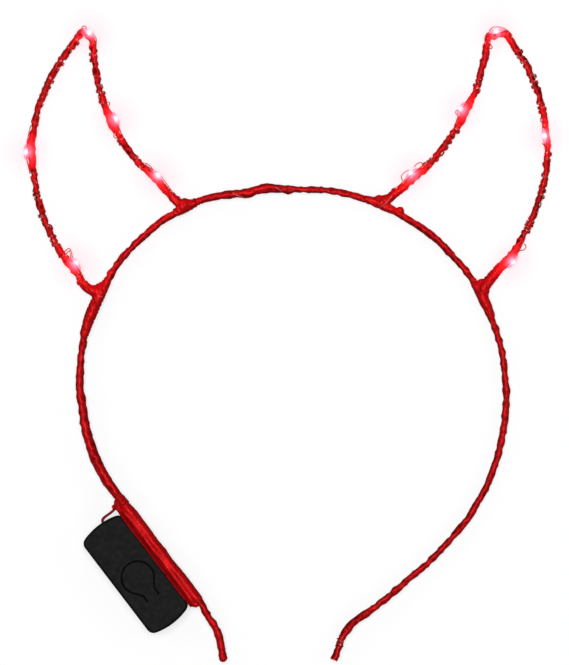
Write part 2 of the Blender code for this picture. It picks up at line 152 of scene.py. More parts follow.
class RibbonSettings(bpy.types.PropertyGroup):
    """Sizes and colours of the wound ribbon"""

    band_pitch: property_float("Band pitch", "Advance of each turn on the band", 0.0056)
    horn_pitch: property_float("Horn pitch", "Advance of each turn on the horns", 0.0043)
    overlap: property_float("Overlap", "Height of the ribbon's edge over the turn below", 0.00009)
    crease: property_float("Crease", "Height of the folds between turns", 0.00010)
    # The satin's own colour, then a darker painted shade of it, laid into the folds, beside the
    # humps and on the hoop's inner side
    colour: property_colour("Colour", "Satin facing the light", (0.345, 0.0021, 0.0032))
    shade: property_colour("Shade", "Satin in its folds", (0.080, 0.0004, 0.0010))


class LightSettings(bpy.types.PropertyGroup):
    """Sizes and colours of the string of lights"""

    strand: property_float("Strand", "Thickness of each strand of wire", 0.00033)
    pitch: property_float("Pitch", "Advance of each turn of the strands", 0.0028)
    # Reach of the painted glow from each light, on the ribbon and the strands
    glow_reach: property_float("Glow reach", "How far each light brightens the ribbon", 0.0066)
    enamel: property_colour("Enamel", "Colour of the strands", (0.260, 0.0014, 0.0028))
    glow: property_colour("Glow", "Colour of the lights", (1.0, 0.10, 0.16))
    power: FloatProperty(name="Power", description="Light thrown on the table", default=0.0062)


class PackSettings(bpy.types.PropertyGroup):
    """Sizes and colours of the battery pack"""

    edge: property_float("Edge", "Radius of the case's edges", 0.0009)
    slot: property_float("Slot", "Gap round the push button", 0.00058)
    seam: property_float("Seam", "Depth of the joint between the case's halves", 0.00022)
    colour: property_colour("Colour", "Moulded plastic", (0.0030, 0.0030, 0.0033))


class StageSettings(bpy.types.PropertyGroup):
    """Table, lamps and camera"""

    floor: property_colour("Table", "Colour of the table", (0.22, 0.22, 0.22))
    # Reach of the pink pool of light painted on the table under each light
    halo: property_float("Halo", "Reach of the pink light on the table", 0.0130)
    glow: property_float("Table glow", "Light that shines through the table", 0.662, "NONE")
    lens: property_float("Lens", "Focal length in millimetres", 500.0, "NONE")
    key: property_float("Key", "Power of the lamp overhead", 158.0, "POWER")
    rim: property_float("Rim", "Power of each lamp at the sides", 0.36, "POWER")
    sky: property_float("Sky", "Strength of the light from all round", 0.14, "NONE")


# The routes, in the row's frame

def through(table, column, at):
    """Values on a smooth curve through the rows of a table."""
    keys, values = table[:, 0], table[:, column]
    slopes = np.gradient(values, keys)
    row = np.clip(np.searchsorted(keys, at) - 1, 0, len(keys) - 2)
    span = keys[row + 1] - keys[row]
    t = (at - keys[row]) / span
    return (
        values[row] * (2 * t**3 - 3 * t**2 + 1)
        + values[row + 1] * (3 * t**2 - 2 * t**3)
        + slopes[row] * span * (t**3 - 2 * t**2 + t)
        + slopes[row + 1] * span * (t**3 - t**2)
    )


def band_plan(angles):
    """Centre of the band at these angles, seen from above and from the hoop's centre."""
    reach = through(BAND, 1, angles) * HOOP_RADIUS
    turn = np.radians(angles)
    return np.stack((np.cos(turn) * reach, np.sin(turn) * reach), axis=-1)


def band_radius(angles):
    return through(BAND, 2, angles) * BAND_THICKNESS / 2


def leg_plan(leg, along):
    root_angle, across, up, side = LEGS[leg]
    root = band_plan(np.array(root_angle))
    line = np.array((across * HORN_TIP_SPREAD, up * HORN_TIP_HEIGHT)) - root
    left = np.array((-line[1], line[0]))
    bow = through(LEG_BOWS, 1 + list(LEGS).index(leg), along) * side
    return root + np.outer(along, line) + np.outer(bow, left)


def leg_radius(along):
    return through(LEG_THICKNESS, 1, along) * HORN_THICKNESS / 2


def unit(vectors):
    return vectors / np.linalg.norm(vectors, axis=-1, keepdims=True)


def clamp(values):
    return np.clip(values, 0, 1)


def distances(places):
    """How far along a row of places each one is."""
    gaps = np.linalg.norm(np.diff(places, axis=0), axis=1)
    return np.concatenate(([0.0], np.cumsum(gaps)))


PACK_X = unit(band_plan(np.array(PACK_TO_DEG)) - band_plan(np.array(PACK_FROM_DEG)))
PACK_Y = np.array((-PACK_X[1], PACK_X[0]))
WIRE_Y = PACK_WIDTH / 2 + PACK_STANDOFF
PACK_FROM_HOOP = band_plan(np.array(PACK_MIDDLE_DEG)) - PACK_Y * WIRE_Y
case_low, case_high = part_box("battery_case")
PACK_CENTRE = np.array((case_low + case_high) / 2)[:2]
HOOP_CENTRE = PACK_CENTRE - PACK_FROM_HOOP
FARTHEST = max(
    ((leg_plan(leg, np.linspace(0, 1, LEG_STEPS + 1)) - PACK_FROM_HOOP) @ PACK_Y).max()
    for leg in LEGS
)


def lifted(plan):
    """Places of a plan, in the row's frame and at the height of the wires there."""
    share = ((plan - PACK_FROM_HOOP) @ PACK_Y - WIRE_Y) / (FARTHEST - WIRE_Y)
    middle = PACK_DEPTH / 2
    lowest = HORN_THICKNESS / 2 * LEG_THICKNESS[:, 1].max()
    height = middle + (lowest - middle) * share
    return np.column_stack((plan + HOOP_CENTRE, height))


def at_height(plan, height):
    return np.column_stack((plan, np.full(len(plan), height)))


def pack_place(points):
    """Places given along the pack, towards the hoop and up, in the row's frame."""
    points = np.asarray(points, dtype=float)
    plan = PACK_CENTRE + np.outer(points[:, 0], PACK_X) + np.outer(points[:, 1], PACK_Y)
    return np.column_stack((plan, points[:, 2]))


def softened(points, passes):
    """A row of places with its corners rounded, its ends kept."""
    points = points.copy()
    for _ in range(passes):
        points[1:-1] = points[1:-1] * 0.5 + (points[:-2] + points[2:]) * 0.25
    return points


class Route:
    """Even stations along a centre line, with a radius and the directions across it."""

    def __init__(self, centres, radii, step, level=True):
        run = distances(centres)
        self.length = run[-1]
        self.along = np.linspace(0, run[-1], max(3, int(round(run[-1] / step)) + 1))
        self.centres = np.column_stack([np.interp(self.along, run, c) for c in centres.T])
        self.radii = np.interp(self.along, run, radii)
        self.ahead = unit(np.gradient(self.centres, axis=0))
        if level:
            self.side = unit(np.cross(self.ahead, (0, 0, 1)))
        else:
            self.side = self.carried_side()
        self.up = np.cross(self.side, self.ahead)

    def carried_side(self):
        """A direction across the line that turns as little as it can."""
        start = np.cross(self.ahead[0], (0.13, 0.27, 0.95))
        sides = [start]
        for ahead in self.ahead[1:]:
            last = sides[-1]
            sides.append(last - ahead * last.dot(ahead))
            sides[-1] /= np.linalg.norm(sides[-1])
        sides[0] = unit(start)
        return np.array(sides)

    def read(self, values, along):
        return np.column_stack([np.interp(along, self.along, v) for v in values.T])

    def place(self, along, turn, reach):
        """Places round the line: turn is from its level side over its top."""
        side, up = self.read(self.side, along), self.read(self.up, along)
        across = side * np.cos(turn)[:, None] + up * np.sin(turn)[:, None]
        return self.read(self.centres, along) + across * np.asarray(reach)[:, None]

    def nearest(self, point):
        """How far along the line it passes a place, and the turn towards it there."""
        gap = self.centres - np.asarray(point)
        row = int(np.argmin(np.linalg.norm(gap, axis=1)))
        turn = math.atan2(-gap[row] @ self.up[row], -gap[row] @ self.side[row])
        return self.along[row], turn


# Distance between the stations along a wire
STATION = 0.0003

# Wavering of wires and ribbon: size in metres, then the shortest and longest wave
BAND_DRIFT = (0.00014, 0.010, 0.024)
BAND_RISE = (0.00010, 0.008, 0.020)
BAND_LUMPS = (0.00010, 0.004, 0.011)
HORN_SWAY = (0.00010, 0.006, 0.016)
HORN_LUMPS = (0.00012, 0.0035, 0.009)
STRAND_LOOSE = (0.00007, 0.003, 0.012)
HEM_WAVER = (0.00006, 0.004, 0.014)
BINDING_WAVER = (0.00012, 0.0006, 0.0020)

# The same in turns: of the ribbon's edge and of the strands
EDGE_DRIFT = (0.22, 0.012, 0.030)
STRAND_SLACK = (3.4, 0.006, 0.020)

# The ribbon's edge: the share of a turn in which it climbs, how it falls away after that, and
# the share of its height that lies below the wire's own radius
EDGE_CLIMB, EDGE_FALL, EDGE_DIP = 0.07, 0.8, 0.3
TURN_CREASES = (0.003, 0.009)


def wander(run, seed, shortest, longest, count=7):
    """A smooth wavering value along a run, about -1 to 1."""
    rng = np.random.default_rng(seed)
    lengths = rng.uniform(shortest, longest, count)
    starts = rng.uniform(0, 2 * math.pi, count)
    waves = np.sin(run[..., None] * 2 * math.pi / lengths + starts)
    return waves.sum(axis=-1) / math.sqrt(count)


def waver(run, seed, size, shortest, longest):
    return size * wander(run, seed, shortest, longest)


def folds(along, turn, seed, shortest, longest, count=9):
    """Creases of pulled cloth over a run and round it: soft hollows with sharper ridges."""
    rng = np.random.default_rng(seed)
    value = np.zeros(np.broadcast(along, turn).shape)
    for _ in range(count):
        length = rng.uniform(shortest, longest)
        wraps = rng.integers(-2, 3)
        value += np.sin(along * 2 * math.pi / length + wraps * turn + rng.uniform(0, 6.3))
    return 1 - 2 * np.abs(value) / count**0.5


def wound(along, turn, pitch, overlap, crease, seed):
    """Relief of ribbon wound on a bar: a step at each overlap, and creases."""
    drift = waver(along, seed, *EDGE_DRIFT)
    phase = (along / pitch + turn / (2 * math.pi) + drift) % 1.0
    step = clamp(phase / EDGE_CLIMB) * (1 - phase) ** EDGE_FALL
    cloth = folds(along, turn, seed + 1, *TURN_CREASES)
    return overlap * (step - EDGE_DIP) + crease * cloth


# Making meshes

def linked(name, data):
    """A new item of the scene that holds a mesh, a lamp or a camera."""
    item = bpy.data.objects.new(name, data)
    bpy.context.collection.objects.link(item)
    return item


def value_layer(bm, name):
    """The layer of that name with a value for each vertex, made if it is missing."""
    return bm.verts.layers.float.get(name) or bm.verts.layers.float.new(name)


def mesh_of(name, bm):
    mesh = bpy.data.meshes.new(name)
    bm.to_mesh(mesh)
    return mesh


def take_back(bm, item, *others):
    """Fill bm with an item's faces as its modifier leaves them, and drop the items."""
    result = item.evaluated_get(bpy.context.evaluated_depsgraph_get()).to_mesh()
    bm.clear()
    bm.from_mesh(result)
    for used in (item, *others):
        mesh = used.data
        bpy.data.objects.remove(used)
        bpy.data.meshes.remove(mesh)


def wrap_grid(bm, places, along, relief_and_shade):
    """Fold a grid of faces into a closed tube through rings of places."""
    stations, turns = places.shape[:2]
    layer = bm.loops.layers.uv.get("UVMap") or bm.loops.layers.uv.new("UVMap")
    # Each vertex keeps a painted shade share: low in folds and hollows, where the ribbon material
    # darkens it
    height = value_layer(bm, "relief_and_shade")
    made = bmesh.ops.create_grid(bm, x_segments=stations - 1, y_segments=turns, size=0.5)["verts"]
    across = np.linalg.norm(places - np.roll(places, 1, axis=1), axis=2).mean() / MM
    for number, vert in enumerate(made):
        row, column = number % stations, number // stations
        vert.co = places[row, column % turns]
        vert[height] = relief_and_shade[row, column % turns]
        for loop in vert.link_loops:
            loop[layer].uv = (along[row] / MM, column * across)
    bmesh.ops.remove_doubles(bm, verts=made, dist=1e-8)
    close_ends(bm)


def roll(bm, route, reach, relief_and_shade=None):
    """Roll a grid of faces into a closed tube. reach has a radius for each station and turn."""
    turn = turns_of(reach.shape[1])
    # Without a given share, the tube gets an even, middling painted shade
    if relief_and_shade is None:
        relief_and_shade = np.full(reach.shape, 0.6)
    across = route.side[:, None, :] * np.cos(turn)[..., None]
    upward = route.up[:, None, :] * np.sin(turn)[..., None]
    places = route.centres[:, None, :] + (across + upward) * reach[..., None]
    wrap_grid(bm, places, route.along, relief_and_shade)


def round_tube(bm, route, reach, sides):
    """Roll a tube that has the same radius all round."""
    roll(bm, route, np.repeat(reach[:, None], sides, axis=1))


def close_ends(bm):
    """Close each open end of a tube, pulled in towards its middle."""
    rims = [edge for edge in bm.edges if edge.is_boundary]
    closed = bmesh.ops.holes_fill(bm, edges=rims, sides=0)["faces"]
    bmesh.ops.inset_individual(bm, faces=closed, thickness=0.00015, use_even_offset=True)


def turns_of(count):
    return np.linspace(0, 2 * math.pi, count, endpoint=False)[None, :]


def strand(bm, points, radius, step=0.00032, sides=6, round_off=6):
    """A bare strand of wire or thread through the points."""
    points = np.asarray(points, dtype=float)
    radii = np.array(np.broadcast_to(radius, len(points)))
    route = Route(softened(points, round_off), radii, step, level=False)
    reach = np.repeat(route.radii[:, None], sides, axis=1)
    reach[0] *= 0.6
    reach[-1] *= 0.6
    # Strands carry a low painted shade share, which darkens them where a ribbon material reads it
    roll(bm, route, reach, np.full(reach.shape, 0.22))


def spline(points, step=STATION):
    """Even places on a smooth curve through a few points."""
    points = np.asarray(points, dtype=float)
    keys = distances(points)
    at = np.linspace(0, keys[-1], max(8, int(keys[-1] / step)))
    columns = [through(np.column_stack((keys, axis)), 1, at) for axis in points.T]
    return np.column_stack(columns)


def fused(bm, seed, voxel, passes, height):
    """One skin over overlapping shells, with its hollows filled and smoothed, then folded."""
    item = linked("fusing", mesh_of("fusing", bm))
    modifier = item.modifiers.new("skin", "REMESH")
    modifier.mode = "VOXEL"
    modifier.voxel_size = voxel
    modifier.adaptivity = 0.0
    take_back(bm, item)
    for _ in range(passes):
        bmesh.ops.smooth_vert(
            bm, verts=bm.verts, factor=0.5, use_axis_x=True, use_axis_y=True, use_axis_z=True
        )
    coarse_relief(bm, seed, height)


def glow_at(points, reach):
    """Share of painted glow from the nearest light at each place, from 0 to 1."""
    gaps = np.linalg.norm(points[:, None, :] - LIGHT_PLACES[None, :, :], axis=2).min(axis=1)
    return np.exp(-((gaps / reach) ** 2))


def set_values(mesh, name, values):
    attribute = mesh.attributes.new(name, "FLOAT", "POINT")
    attribute.data.foreach_set("value", np.asarray(values, dtype=np.float32))


def vertex_places(mesh):
    places = np.zeros(len(mesh.vertices) * 3)
    mesh.vertices.foreach_get("co", places)
    return places.reshape(-1, 3)


def add_piece(name, bm, material, nodes=(), body="headband", crease_deg=60):
    """A finished piece on its body, in place of the solids that it stands for."""
    for vert in bm.verts:
        vert.co.z = max(vert.co.z, 0.00002)
    bmesh.ops.recalc_face_normals(bm, faces=bm.faces)
    mesh = mesh_of(name, bm)
    bm.free()
    mesh.shade_smooth()
    mesh.set_sharp_from_angle(angle=math.radians(crease_deg))
    mesh.materials.append(material)
    reach = bpy.context.scene.headband_lights.glow_reach
    # Painted glow: each vertex keeps how much of a light's painted glow its material shows
    set_values(mesh, "glow", glow_at(vertex_places(mesh), reach))
    piece = linked(name, mesh)
    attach(piece, body)
    if nodes:
        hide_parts(*nodes)
    return piece


def light_place(name):
    low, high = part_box("led_" + name)
    return np.array((low + high) / 2)


LIGHT_PLACES = np.array([light_place(name) for names in LIGHTS.values() for name in names])


def band_route():
    angles = np.linspace(BAND[0, 0], BAND[-1, 0], 1500)
    return Route(lifted(band_plan(angles)), band_radius(angles), STATION)


def horn_route(side):
    """Up the outer leg, round the tip and down the inner leg."""
    rise = np.linspace(0.0, 1.0, 400)
    up = leg_plan(side + "_outer", rise)
    down = leg_plan(side + "_inner", rise)[::-1]
    share = np.linspace(0, 1, 12)[1:-1, None]
    over = up[-1] * (1 - share) + down[0] * share
    radii = np.concatenate((leg_radius(rise), np.full(10, leg_radius(1.0)), leg_radius(rise)[::-1]))
    rough = Route(lifted(np.vstack((up, over, down))), radii, 0.0002)
    return Route(softened(rough.centres, 14), rough.radii, STATION)


# Materials

def painted(name, settings, paint):
    """A material, made once: its settings, then the sockets that paint feeds with its nodes."""
    material = bpy.data.materials.get(name)
    if material is None:
        material = bpy.data.materials.new(name)
        material.use_nodes = True
        tree = material.node_tree
        shader = tree.nodes["Principled BSDF"]
        for socket, value in settings.items():
            shader.inputs[socket].default_value = value
        place = tree.nodes.new("ShaderNodeTexCoord").outputs["Object"]
        for socket, value in paint(tree, place).items():
            tree.links.new(value, shader.inputs[socket])
    return material


def add_node(tree, kind, settings=None, **values):
    node = tree.nodes.new(kind)
    for name, value in (settings or {}).items():
        setattr(node, name, value)
    for name, value in values.items():
        socket = node.inputs[name]
        if isinstance(value, bpy.types.NodeSocket):
            tree.links.new(value, socket)
        else:
            socket.default_value = value
    return node


def own_value(tree, name):
    node = tree.nodes.new("ShaderNodeAttribute")
    node.attribute_name = name
    return node.outputs["Fac"]


def ramp(tree, value, stops):
    """Colour ramp with stops of place and colour."""
    node = add_node(tree, "ShaderNodeValToRGB", Fac=value)
    while len(node.color_ramp.elements) < len(stops):
        node.color_ramp.elements.new(0.5)
    for element, (place, colour) in zip(node.color_ramp.elements, stops):
        element.position = place
        element.color = (*colour, 1.0)
    return node.outputs["Color"]


def grey(value):
    return (value, value, value)


def mix_colour(tree, share, first, second, blend="MIX"):
    node = tree.nodes.new("ShaderNodeMix")
    node.data_type = "RGBA"
    node.blend_type = blend
    for name, value in (("Factor", share), ("A", first), ("B", second)):
        socket = next(s for s in node.inputs if s.name == name and s.enabled)
        if isinstance(value, bpy.types.NodeSocket):
            tree.links.new(value, socket)
        else:
            socket.default_value = value
    return next(s for s in node.outputs if s.enabled)


def noise(tree, place, scale, detail=3.0, roughness=0.55):
    node = add_node(
        tree, "ShaderNodeTexNoise", Vector=place, Scale=scale, Detail=detail, Roughness=roughness
    )
    return node.outputs["Fac"]


def patches(tree, place, scale, detail, low, high):
    """Soft patches from 0 to 1, where a noise runs from low to high."""
    return ramp(tree, noise(tree, place, scale, detail), ((low, grey(0.0)), (high, grey(1.0))))


def toned(colour, share=1.0):
    """A colour made darker or lighter, with its fourth value."""
    return (*[c * share for c in colour], 1)


def bump(tree, height, distance, strength=1.0, normal=None):
    node = add_node(tree, "ShaderNodeBump", Height=height, Distance=distance, Strength=strength)
    if normal is not None:
        tree.links.new(normal, node.inputs["Normal"])
    return node.outputs["Normal"]


def ribbon_material():
    """Red satin ribbon: woven sheen, painted shade in its folds, and a painted glow beside the
    lights.
    """
    ribbon = bpy.context.scene.headband_ribbon

    def paint(tree, place):
        weave_place = tree.nodes.new("ShaderNodeUVMap").outputs["UV"]
        cloth = patches(tree, place, 620, 4.0, 0.36, 0.66)
        # Painted shade: a share from 0 in the deepest folds to 1 on the ribbon's face
        fold = ramp(tree, own_value(tree, "relief_and_shade"), ((0.0, grey(0.0)), (0.55, grey(1.0))))
        bright = mix_colour(tree, cloth, toned(ribbon.colour, 0.80), toned(ribbon.colour))
        # Painted shade: the satin darkens to its shade colour where that share is low
        colour = mix_colour(tree, fold, toned(ribbon.shade), bright)
        fleck = noise(tree, place, 2600, 2.0)
        fleck = ramp(tree, fleck, ((0.56, grey(0.0)), (0.74, grey(0.32))))
        # The pale flecks are kept off the painted shade
        fleck = mix_colour(tree, 1.0, fleck, fold, "MULTIPLY")
        colour = mix_colour(tree, fleck, colour, (0.62, 0.040, 0.036, 1))
        pulled = add_node(tree, "ShaderNodeMapping", Vector=weave_place, Scale=(0.15, 1.5, 1.0))
        streak = patches(tree, pulled.outputs["Vector"], 1.0, 3.0, 0.38, 0.60)
        streaked = mix_colour(tree, streak, (0.70, 0.58, 0.58, 1), (1, 1, 1, 1))
        # Painted glow: the ribbon shines red to pink beside each light, as emission
        light = ramp(tree, own_value(tree, "glow"), (
            (0.02, (0.0, 0.0, 0.0)),
            (0.30, (0.11, 0.0010, 0.0014)),
            (0.60, (0.48, 0.006, 0.008)),
            (0.80, (0.84, 0.030, 0.046)),
            (0.91, (0.96, 0.150, 0.240)),
            (0.98, (1.00, 0.420, 0.600)),
        ))
        # The painted glow is dimmed in the painted shade of the folds and by the streaks
        shaded = mix_colour(tree, fold, (0.30, 0.20, 0.20, 1), streaked)
        rough = ramp(tree, noise(tree, place, 1500, 2.0), ((0.3, grey(0.30)), (0.7, grey(0.46))))
        warp, weft = (
            add_node(tree, "ShaderNodeTexWave", {"bands_direction": axis},
                     Vector=weave_place, Scale=scale).outputs["Color"]
            for axis, scale in (("X", 1.7), ("Y", 1.1))
        )
        weave = bump(tree, mix_colour(tree, 0.5, warp, weft), 0.000012)
        return {
            "Base Color": mix_colour(tree, 1.0, colour, streaked, "MULTIPLY"),
            "Emission Color": mix_colour(tree, 1.0, light, shaded, "MULTIPLY"),
            "Roughness": rough,
            "Normal": bump(tree, noise(tree, place, 900, 4.0), 0.00012, 0.7, weave),
        }

    return painted("red_satin_ribbon", {
        "Roughness": 0.38,
        "Metallic": 0.25,
        "Specular IOR Level": 0.26,
        "Specular Tint": (1.0, 0.14, 0.15, 1.0),
        "Emission Strength": 1.0,
    }, paint)


def enamel_material():
    """Lacquered wire: dark red, glossy, with painted pale glints in flecks, a faint painted glow
    all along and a brighter painted glow beside the lights.
    """
    lights = bpy.context.scene.headband_lights

    def paint(tree, place):
        worn = patches(tree, place, 480, 3.0, 0.42, 0.72)
        colour = mix_colour(tree, worn, toned(lights.enamel, 0.70), toned(lights.enamel))
        # Painted highlights: pale pink flecks that stand for glints on the wire
        painted_glints = patches(tree, place, 1150, 2.0, 0.60, 0.67)
        return {
            "Base Color": mix_colour(tree, painted_glints, colour, (0.78, 0.30, 0.28, 1)),
            # Painted glow: a faint red emission all along, brighter and pinker beside the lights
            "Emission Color": ramp(tree, own_value(tree, "glow"), (
                (0.00, (0.045, 0.0006, 0.0010)),
                (0.55, (0.100, 0.0014, 0.0020)),
                (0.80, (0.15, 0.004, 0.010)),
                (0.93, (0.36, 0.040, 0.090)),
                (1.00, (0.70, 0.280, 0.430)),
            )),
            "Normal": bump(tree, noise(tree, place, 2200, 2.0), 0.00002),
        }

    return painted("red_wire_enamel", {
        "Roughness": 0.28,
        "Metallic": 0.20,
        "Specular IOR Level": 0.75,
        "Specular Tint": (1.0, 0.45, 0.42, 1.0),
        "Emission Strength": 1.0,
    }, paint)


def fibre_material(name, settings, patch, shades, grain):
    """Two soft shades in patches, with a fine grain."""

    def paint(tree, place):
        return {
            "Base Color": ramp(tree, noise(tree, place, patch, 3.0), shades),
            "Normal": bump(tree, noise(tree, place, grain, 2.0), 0.00002),
        }

    return painted(name, settings, paint)


def cover_material():
    """Dull dark red cover of the lead's wires."""
    shades = ((0.35, (0.090, 0.0008, 0.0020)), (0.70, (0.180, 0.0030, 0.0060)))
    settings = {"Roughness": 0.5, "Specular IOR Level": 0.12}
    return fibre_material("red_wire_cover", settings, 900, shades, 2600)


def thread_material():
    """Pale thread laid along given lines at the joints and on the band."""
    shades = ((0.38, (0.22, 0.012, 0.016)), (0.66, (0.50, 0.150, 0.150)))
    settings = {"Roughness": 0.6, "Sheen Weight": 0.3}
    return fibre_material("pale_thread", settings, 700, shades, 5000)


def light_material():
    """Clear resin drop with the light burning inside it."""

    def paint(tree, place):
        return {
            "Emission Color": ramp(tree, own_value(tree, "hot"), (
                (0.00, (0.78, 0.110, 0.200)),
                (0.18, (0.90, 0.290, 0.440)),
                (0.45, (0.97, 0.520, 0.740)),
                (0.78, (1.00, 0.780, 0.950)),
                (0.96, (1.00, 1.000, 1.000)),
            )),
            "Normal": bump(tree, noise(tree, place, 1100, 2.0), 0.00006),
        }

    return painted("lit_resin", {
        "Base Color": (0.45, 0.16, 0.20, 1.0),
        "Roughness": 0.16,
        "Coat Weight": 0.3,
        "Emission Strength": 0.9,
    }, paint)


def plastic_material():
    """Matte charcoal moulding, faintly mottled, with a fine grain."""
    pack = bpy.context.scene.headband_pack

    def paint(tree, place):
        mottle = noise(tree, place, 170, 5.0, 0.65)
        mottle = ramp(tree, mottle, ((0.30, grey(0.0)), (0.74, grey(1.0))))
        rough = ramp(tree, noise(tree, place, 520, 4.0), ((0.3, grey(0.44)), (0.75, grey(0.60))))
        grain = bump(tree, noise(tree, place, 5200, 2.0), 0.00002, 0.8)
        dark, pale = toned(pack.colour, 0.80), toned(pack.colour, 1.2)
        return {
            "Base Color": mix_colour(tree, mottle, dark, pale),
            "Roughness": rough,
            "Normal": bump(tree, noise(tree, place, 260, 2.0), 0.00008, 0.5, grain),
        }

    return painted("charcoal_plastic", {"Specular IOR Level": 0.036, "Roughness": 0.5}, paint)


def table_material():
    """Pale table lit from below, with a painted pink pool of light under each light."""
    stage = bpy.context.scene.headband_stage

    def paint(tree, place):
        halo = 0.0
        for x, y, _ in LIGHT_PLACES:
            gap = add_node(tree, "ShaderNodeVectorMath", {"operation": "DISTANCE"}, Vector=place)
            gap.inputs[1].default_value = (x, y, 0)
            near = add_node(
                tree, "ShaderNodeMapRange", {"interpolation_type": "SMOOTHERSTEP"},
                Value=gap.outputs["Value"],
                **{"From Max": stage.halo, "To Min": 1.0, "To Max": 0.0},
            )
            most = add_node(tree, "ShaderNodeMath", {"operation": "MAXIMUM"}, Value=halo)
            tree.links.new(near.outputs["Result"], most.inputs[1])
            halo = most.outputs["Value"]
        # Painted light: the table's glow turns pink near each light
        return {"Emission Color": mix_colour(tree, halo, (1, 1, 1, 1), (1.0, 0.84, 0.865, 1))}

    return painted("pale_table", {
        "Base Color": (*stage.floor, 1.0),
        "Roughness": 0.9,
        "Specular IOR Level": 0.1,
        "Emission Strength": stage.glow,
    }, paint)


# Folds of lashed ribbon: the way that they lie, the way across, and their lengths
FOLD_SLANT = np.array((0.75, 0.55, 0.45))
FOLD_ACROSS = np.array((-0.5, 0.8, 0.3))
FOLD_SHORT, FOLD_LONG = 0.0016, 0.0045


def coarse_relief(bm, seed, height):
    """Push a fused ribbon piece in and out in folds, and store a painted shade for its colour,
    darker in the hollows.
    """
    layer = value_layer(bm, "relief_and_shade")
    bm.normal_update()
    places = np.array([vert.co for vert in bm.verts])
    across = places @ FOLD_ACROSS
    value = folds(places @ FOLD_SLANT, across / FOLD_SHORT, seed, FOLD_SHORT, FOLD_LONG)
    for vert, fold in zip(bm.verts, value):
        vert.co += vert.normal * float(fold) * height
        # Painted shade: lower in the folds' hollows, higher on their ridges
        vert[layer] = float(clamp(0.76 + 0.20 * fold))


# The pieces

PIXEL = 0.00034
ORIGIN_PIXEL = (286.888, 345.09)


def spot(across, down, rise=0.0):
    """Place seen at a point of the photograph, so far above the wires' middle."""
    plan = np.array(((across - ORIGIN_PIXEL[0]) * PIXEL, (ORIGIN_PIXEL[1] - down) * PIXEL))
    place = lifted((plan - HOOP_CENTRE)[None, :])[0]
    place[2] += rise
    return place


def spots(points):
    """Places seen at a row of points of the photograph, each with its rise in mm."""
    return [spot(across, down, rise * MM) for across, down, rise in points]


# Where the ribbon stands proud of the band: a point of the photograph, the direction in degrees
# from the hoop's outer side over its top, then height and half length in mm
BAND_HUMPS = (
    (265.6, 188.0, 10, 0.72, 2.7), (246.0, 193.0, 180, 0.72, 2.2), (287.0, 189.6, 180, 0.66, 1.7),
    (228.0, 194.6, 200, 0.25, 1.6), (348.6, 627.2, 170, 0.12, 1.6), (84.6, 330.6, 0, 0.30, 1.6),
    (83.0, 344.0, 180, 0.28, 1.6), (94.0, 306.0, 180, 0.25, 1.4), (112.0, 272.0, 0, 0.24, 1.5),
    (395.0, 592.0, 180, 0.20, 1.5), (433.0, 562.0, 180, 0.18, 1.6), (468.0, 520.0, 0, 0.16, 1.8),
)


BAND_SIDES, HORN_SIDES = 28, 24

# How deep the ribbon's middle level lies under each wire's radius, the length over which the
# band's wavering begins, that of its rounded end, and a light's height over its seat
BAND_SUNK, HORN_SUNK = 0.00005, 0.00003
CALM_END, ROUND_END = 0.004, 0.0014
SEAT_GAP = 0.00115


class HEADBAND_OT_band(bpy.types.Operator):
    """Wind ribbon round the band"""

    bl_idname = "headband.band"
    bl_label = "Band"

    def execute(self, context):
        ribbon = context.scene.headband_ribbon
        route = band_route()
        left = route.length - route.along
        calm = clamp(np.minimum(route.along, left) / CALM_END)
        drift = waver(route.along, 21, *BAND_DRIFT) * calm
        rise = waver(route.along, 22, *BAND_RISE) * calm
        route.centres += route.side * drift[:, None] + route.up * rise[:, None]
        turn = turns_of(BAND_SIDES)
        along = route.along[:, None]
        relief_and_shade = wound(along, turn, ribbon.band_pitch, ribbon.overlap, ribbon.crease, 5)
        lumps = waver(route.along, 31, *BAND_LUMPS)[:, None]
        # Painted shade from the wound ribbon's folds, with a low contrast
        share = fold_shade_share(relief_and_shade, ribbon, 0.32)
        for across, down, towards, height, length in BAND_HUMPS:
            middle, _ = route.nearest(spot(across, down))
            swell = np.exp(-(np.abs((along - middle) / (length * MM)) ** 3))
            facing = clamp(np.cos(turn - math.radians(towards)))
            lumps = lumps + height * MM * swell * facing**1.3
            # Painted shade: each hump darkens its ribbon on the side it stands towards
            share = share - 0.70 * height * swell * facing**3
        reach = route.radii[:, None] + relief_and_shade + lumps - BAND_SUNK
        rounding = 1 - clamp(left / ROUND_END)
        reach *= np.sqrt(np.clip(1 - rounding**2, 0.06, 1))[:, None]
        reach *= (0.94 + 0.06 * clamp(route.along / 0.013) ** 2)[:, None]
        bm = bmesh.new()
        # Painted shade on the hoop's inner side: darker on faces turned inwards, down to half
        inner_side_shade = clamp((-np.cos(turn) - 0.05) / 0.65)
        roll(bm, route, reach, clamp(share) * (1 - 0.50 * inner_side_shade))
        add_piece("band_ribbon", bm, ribbon_material(), ["band"])
        return {"FINISHED"}


def fold_shade_share(relief_and_shade, ribbon, contrast=0.5):
    """Painted shade share from the wound ribbon's heights, from the deepest fold to its face."""
    return clamp(0.60 + relief_and_shade / (ribbon.overlap + ribbon.crease) * contrast)


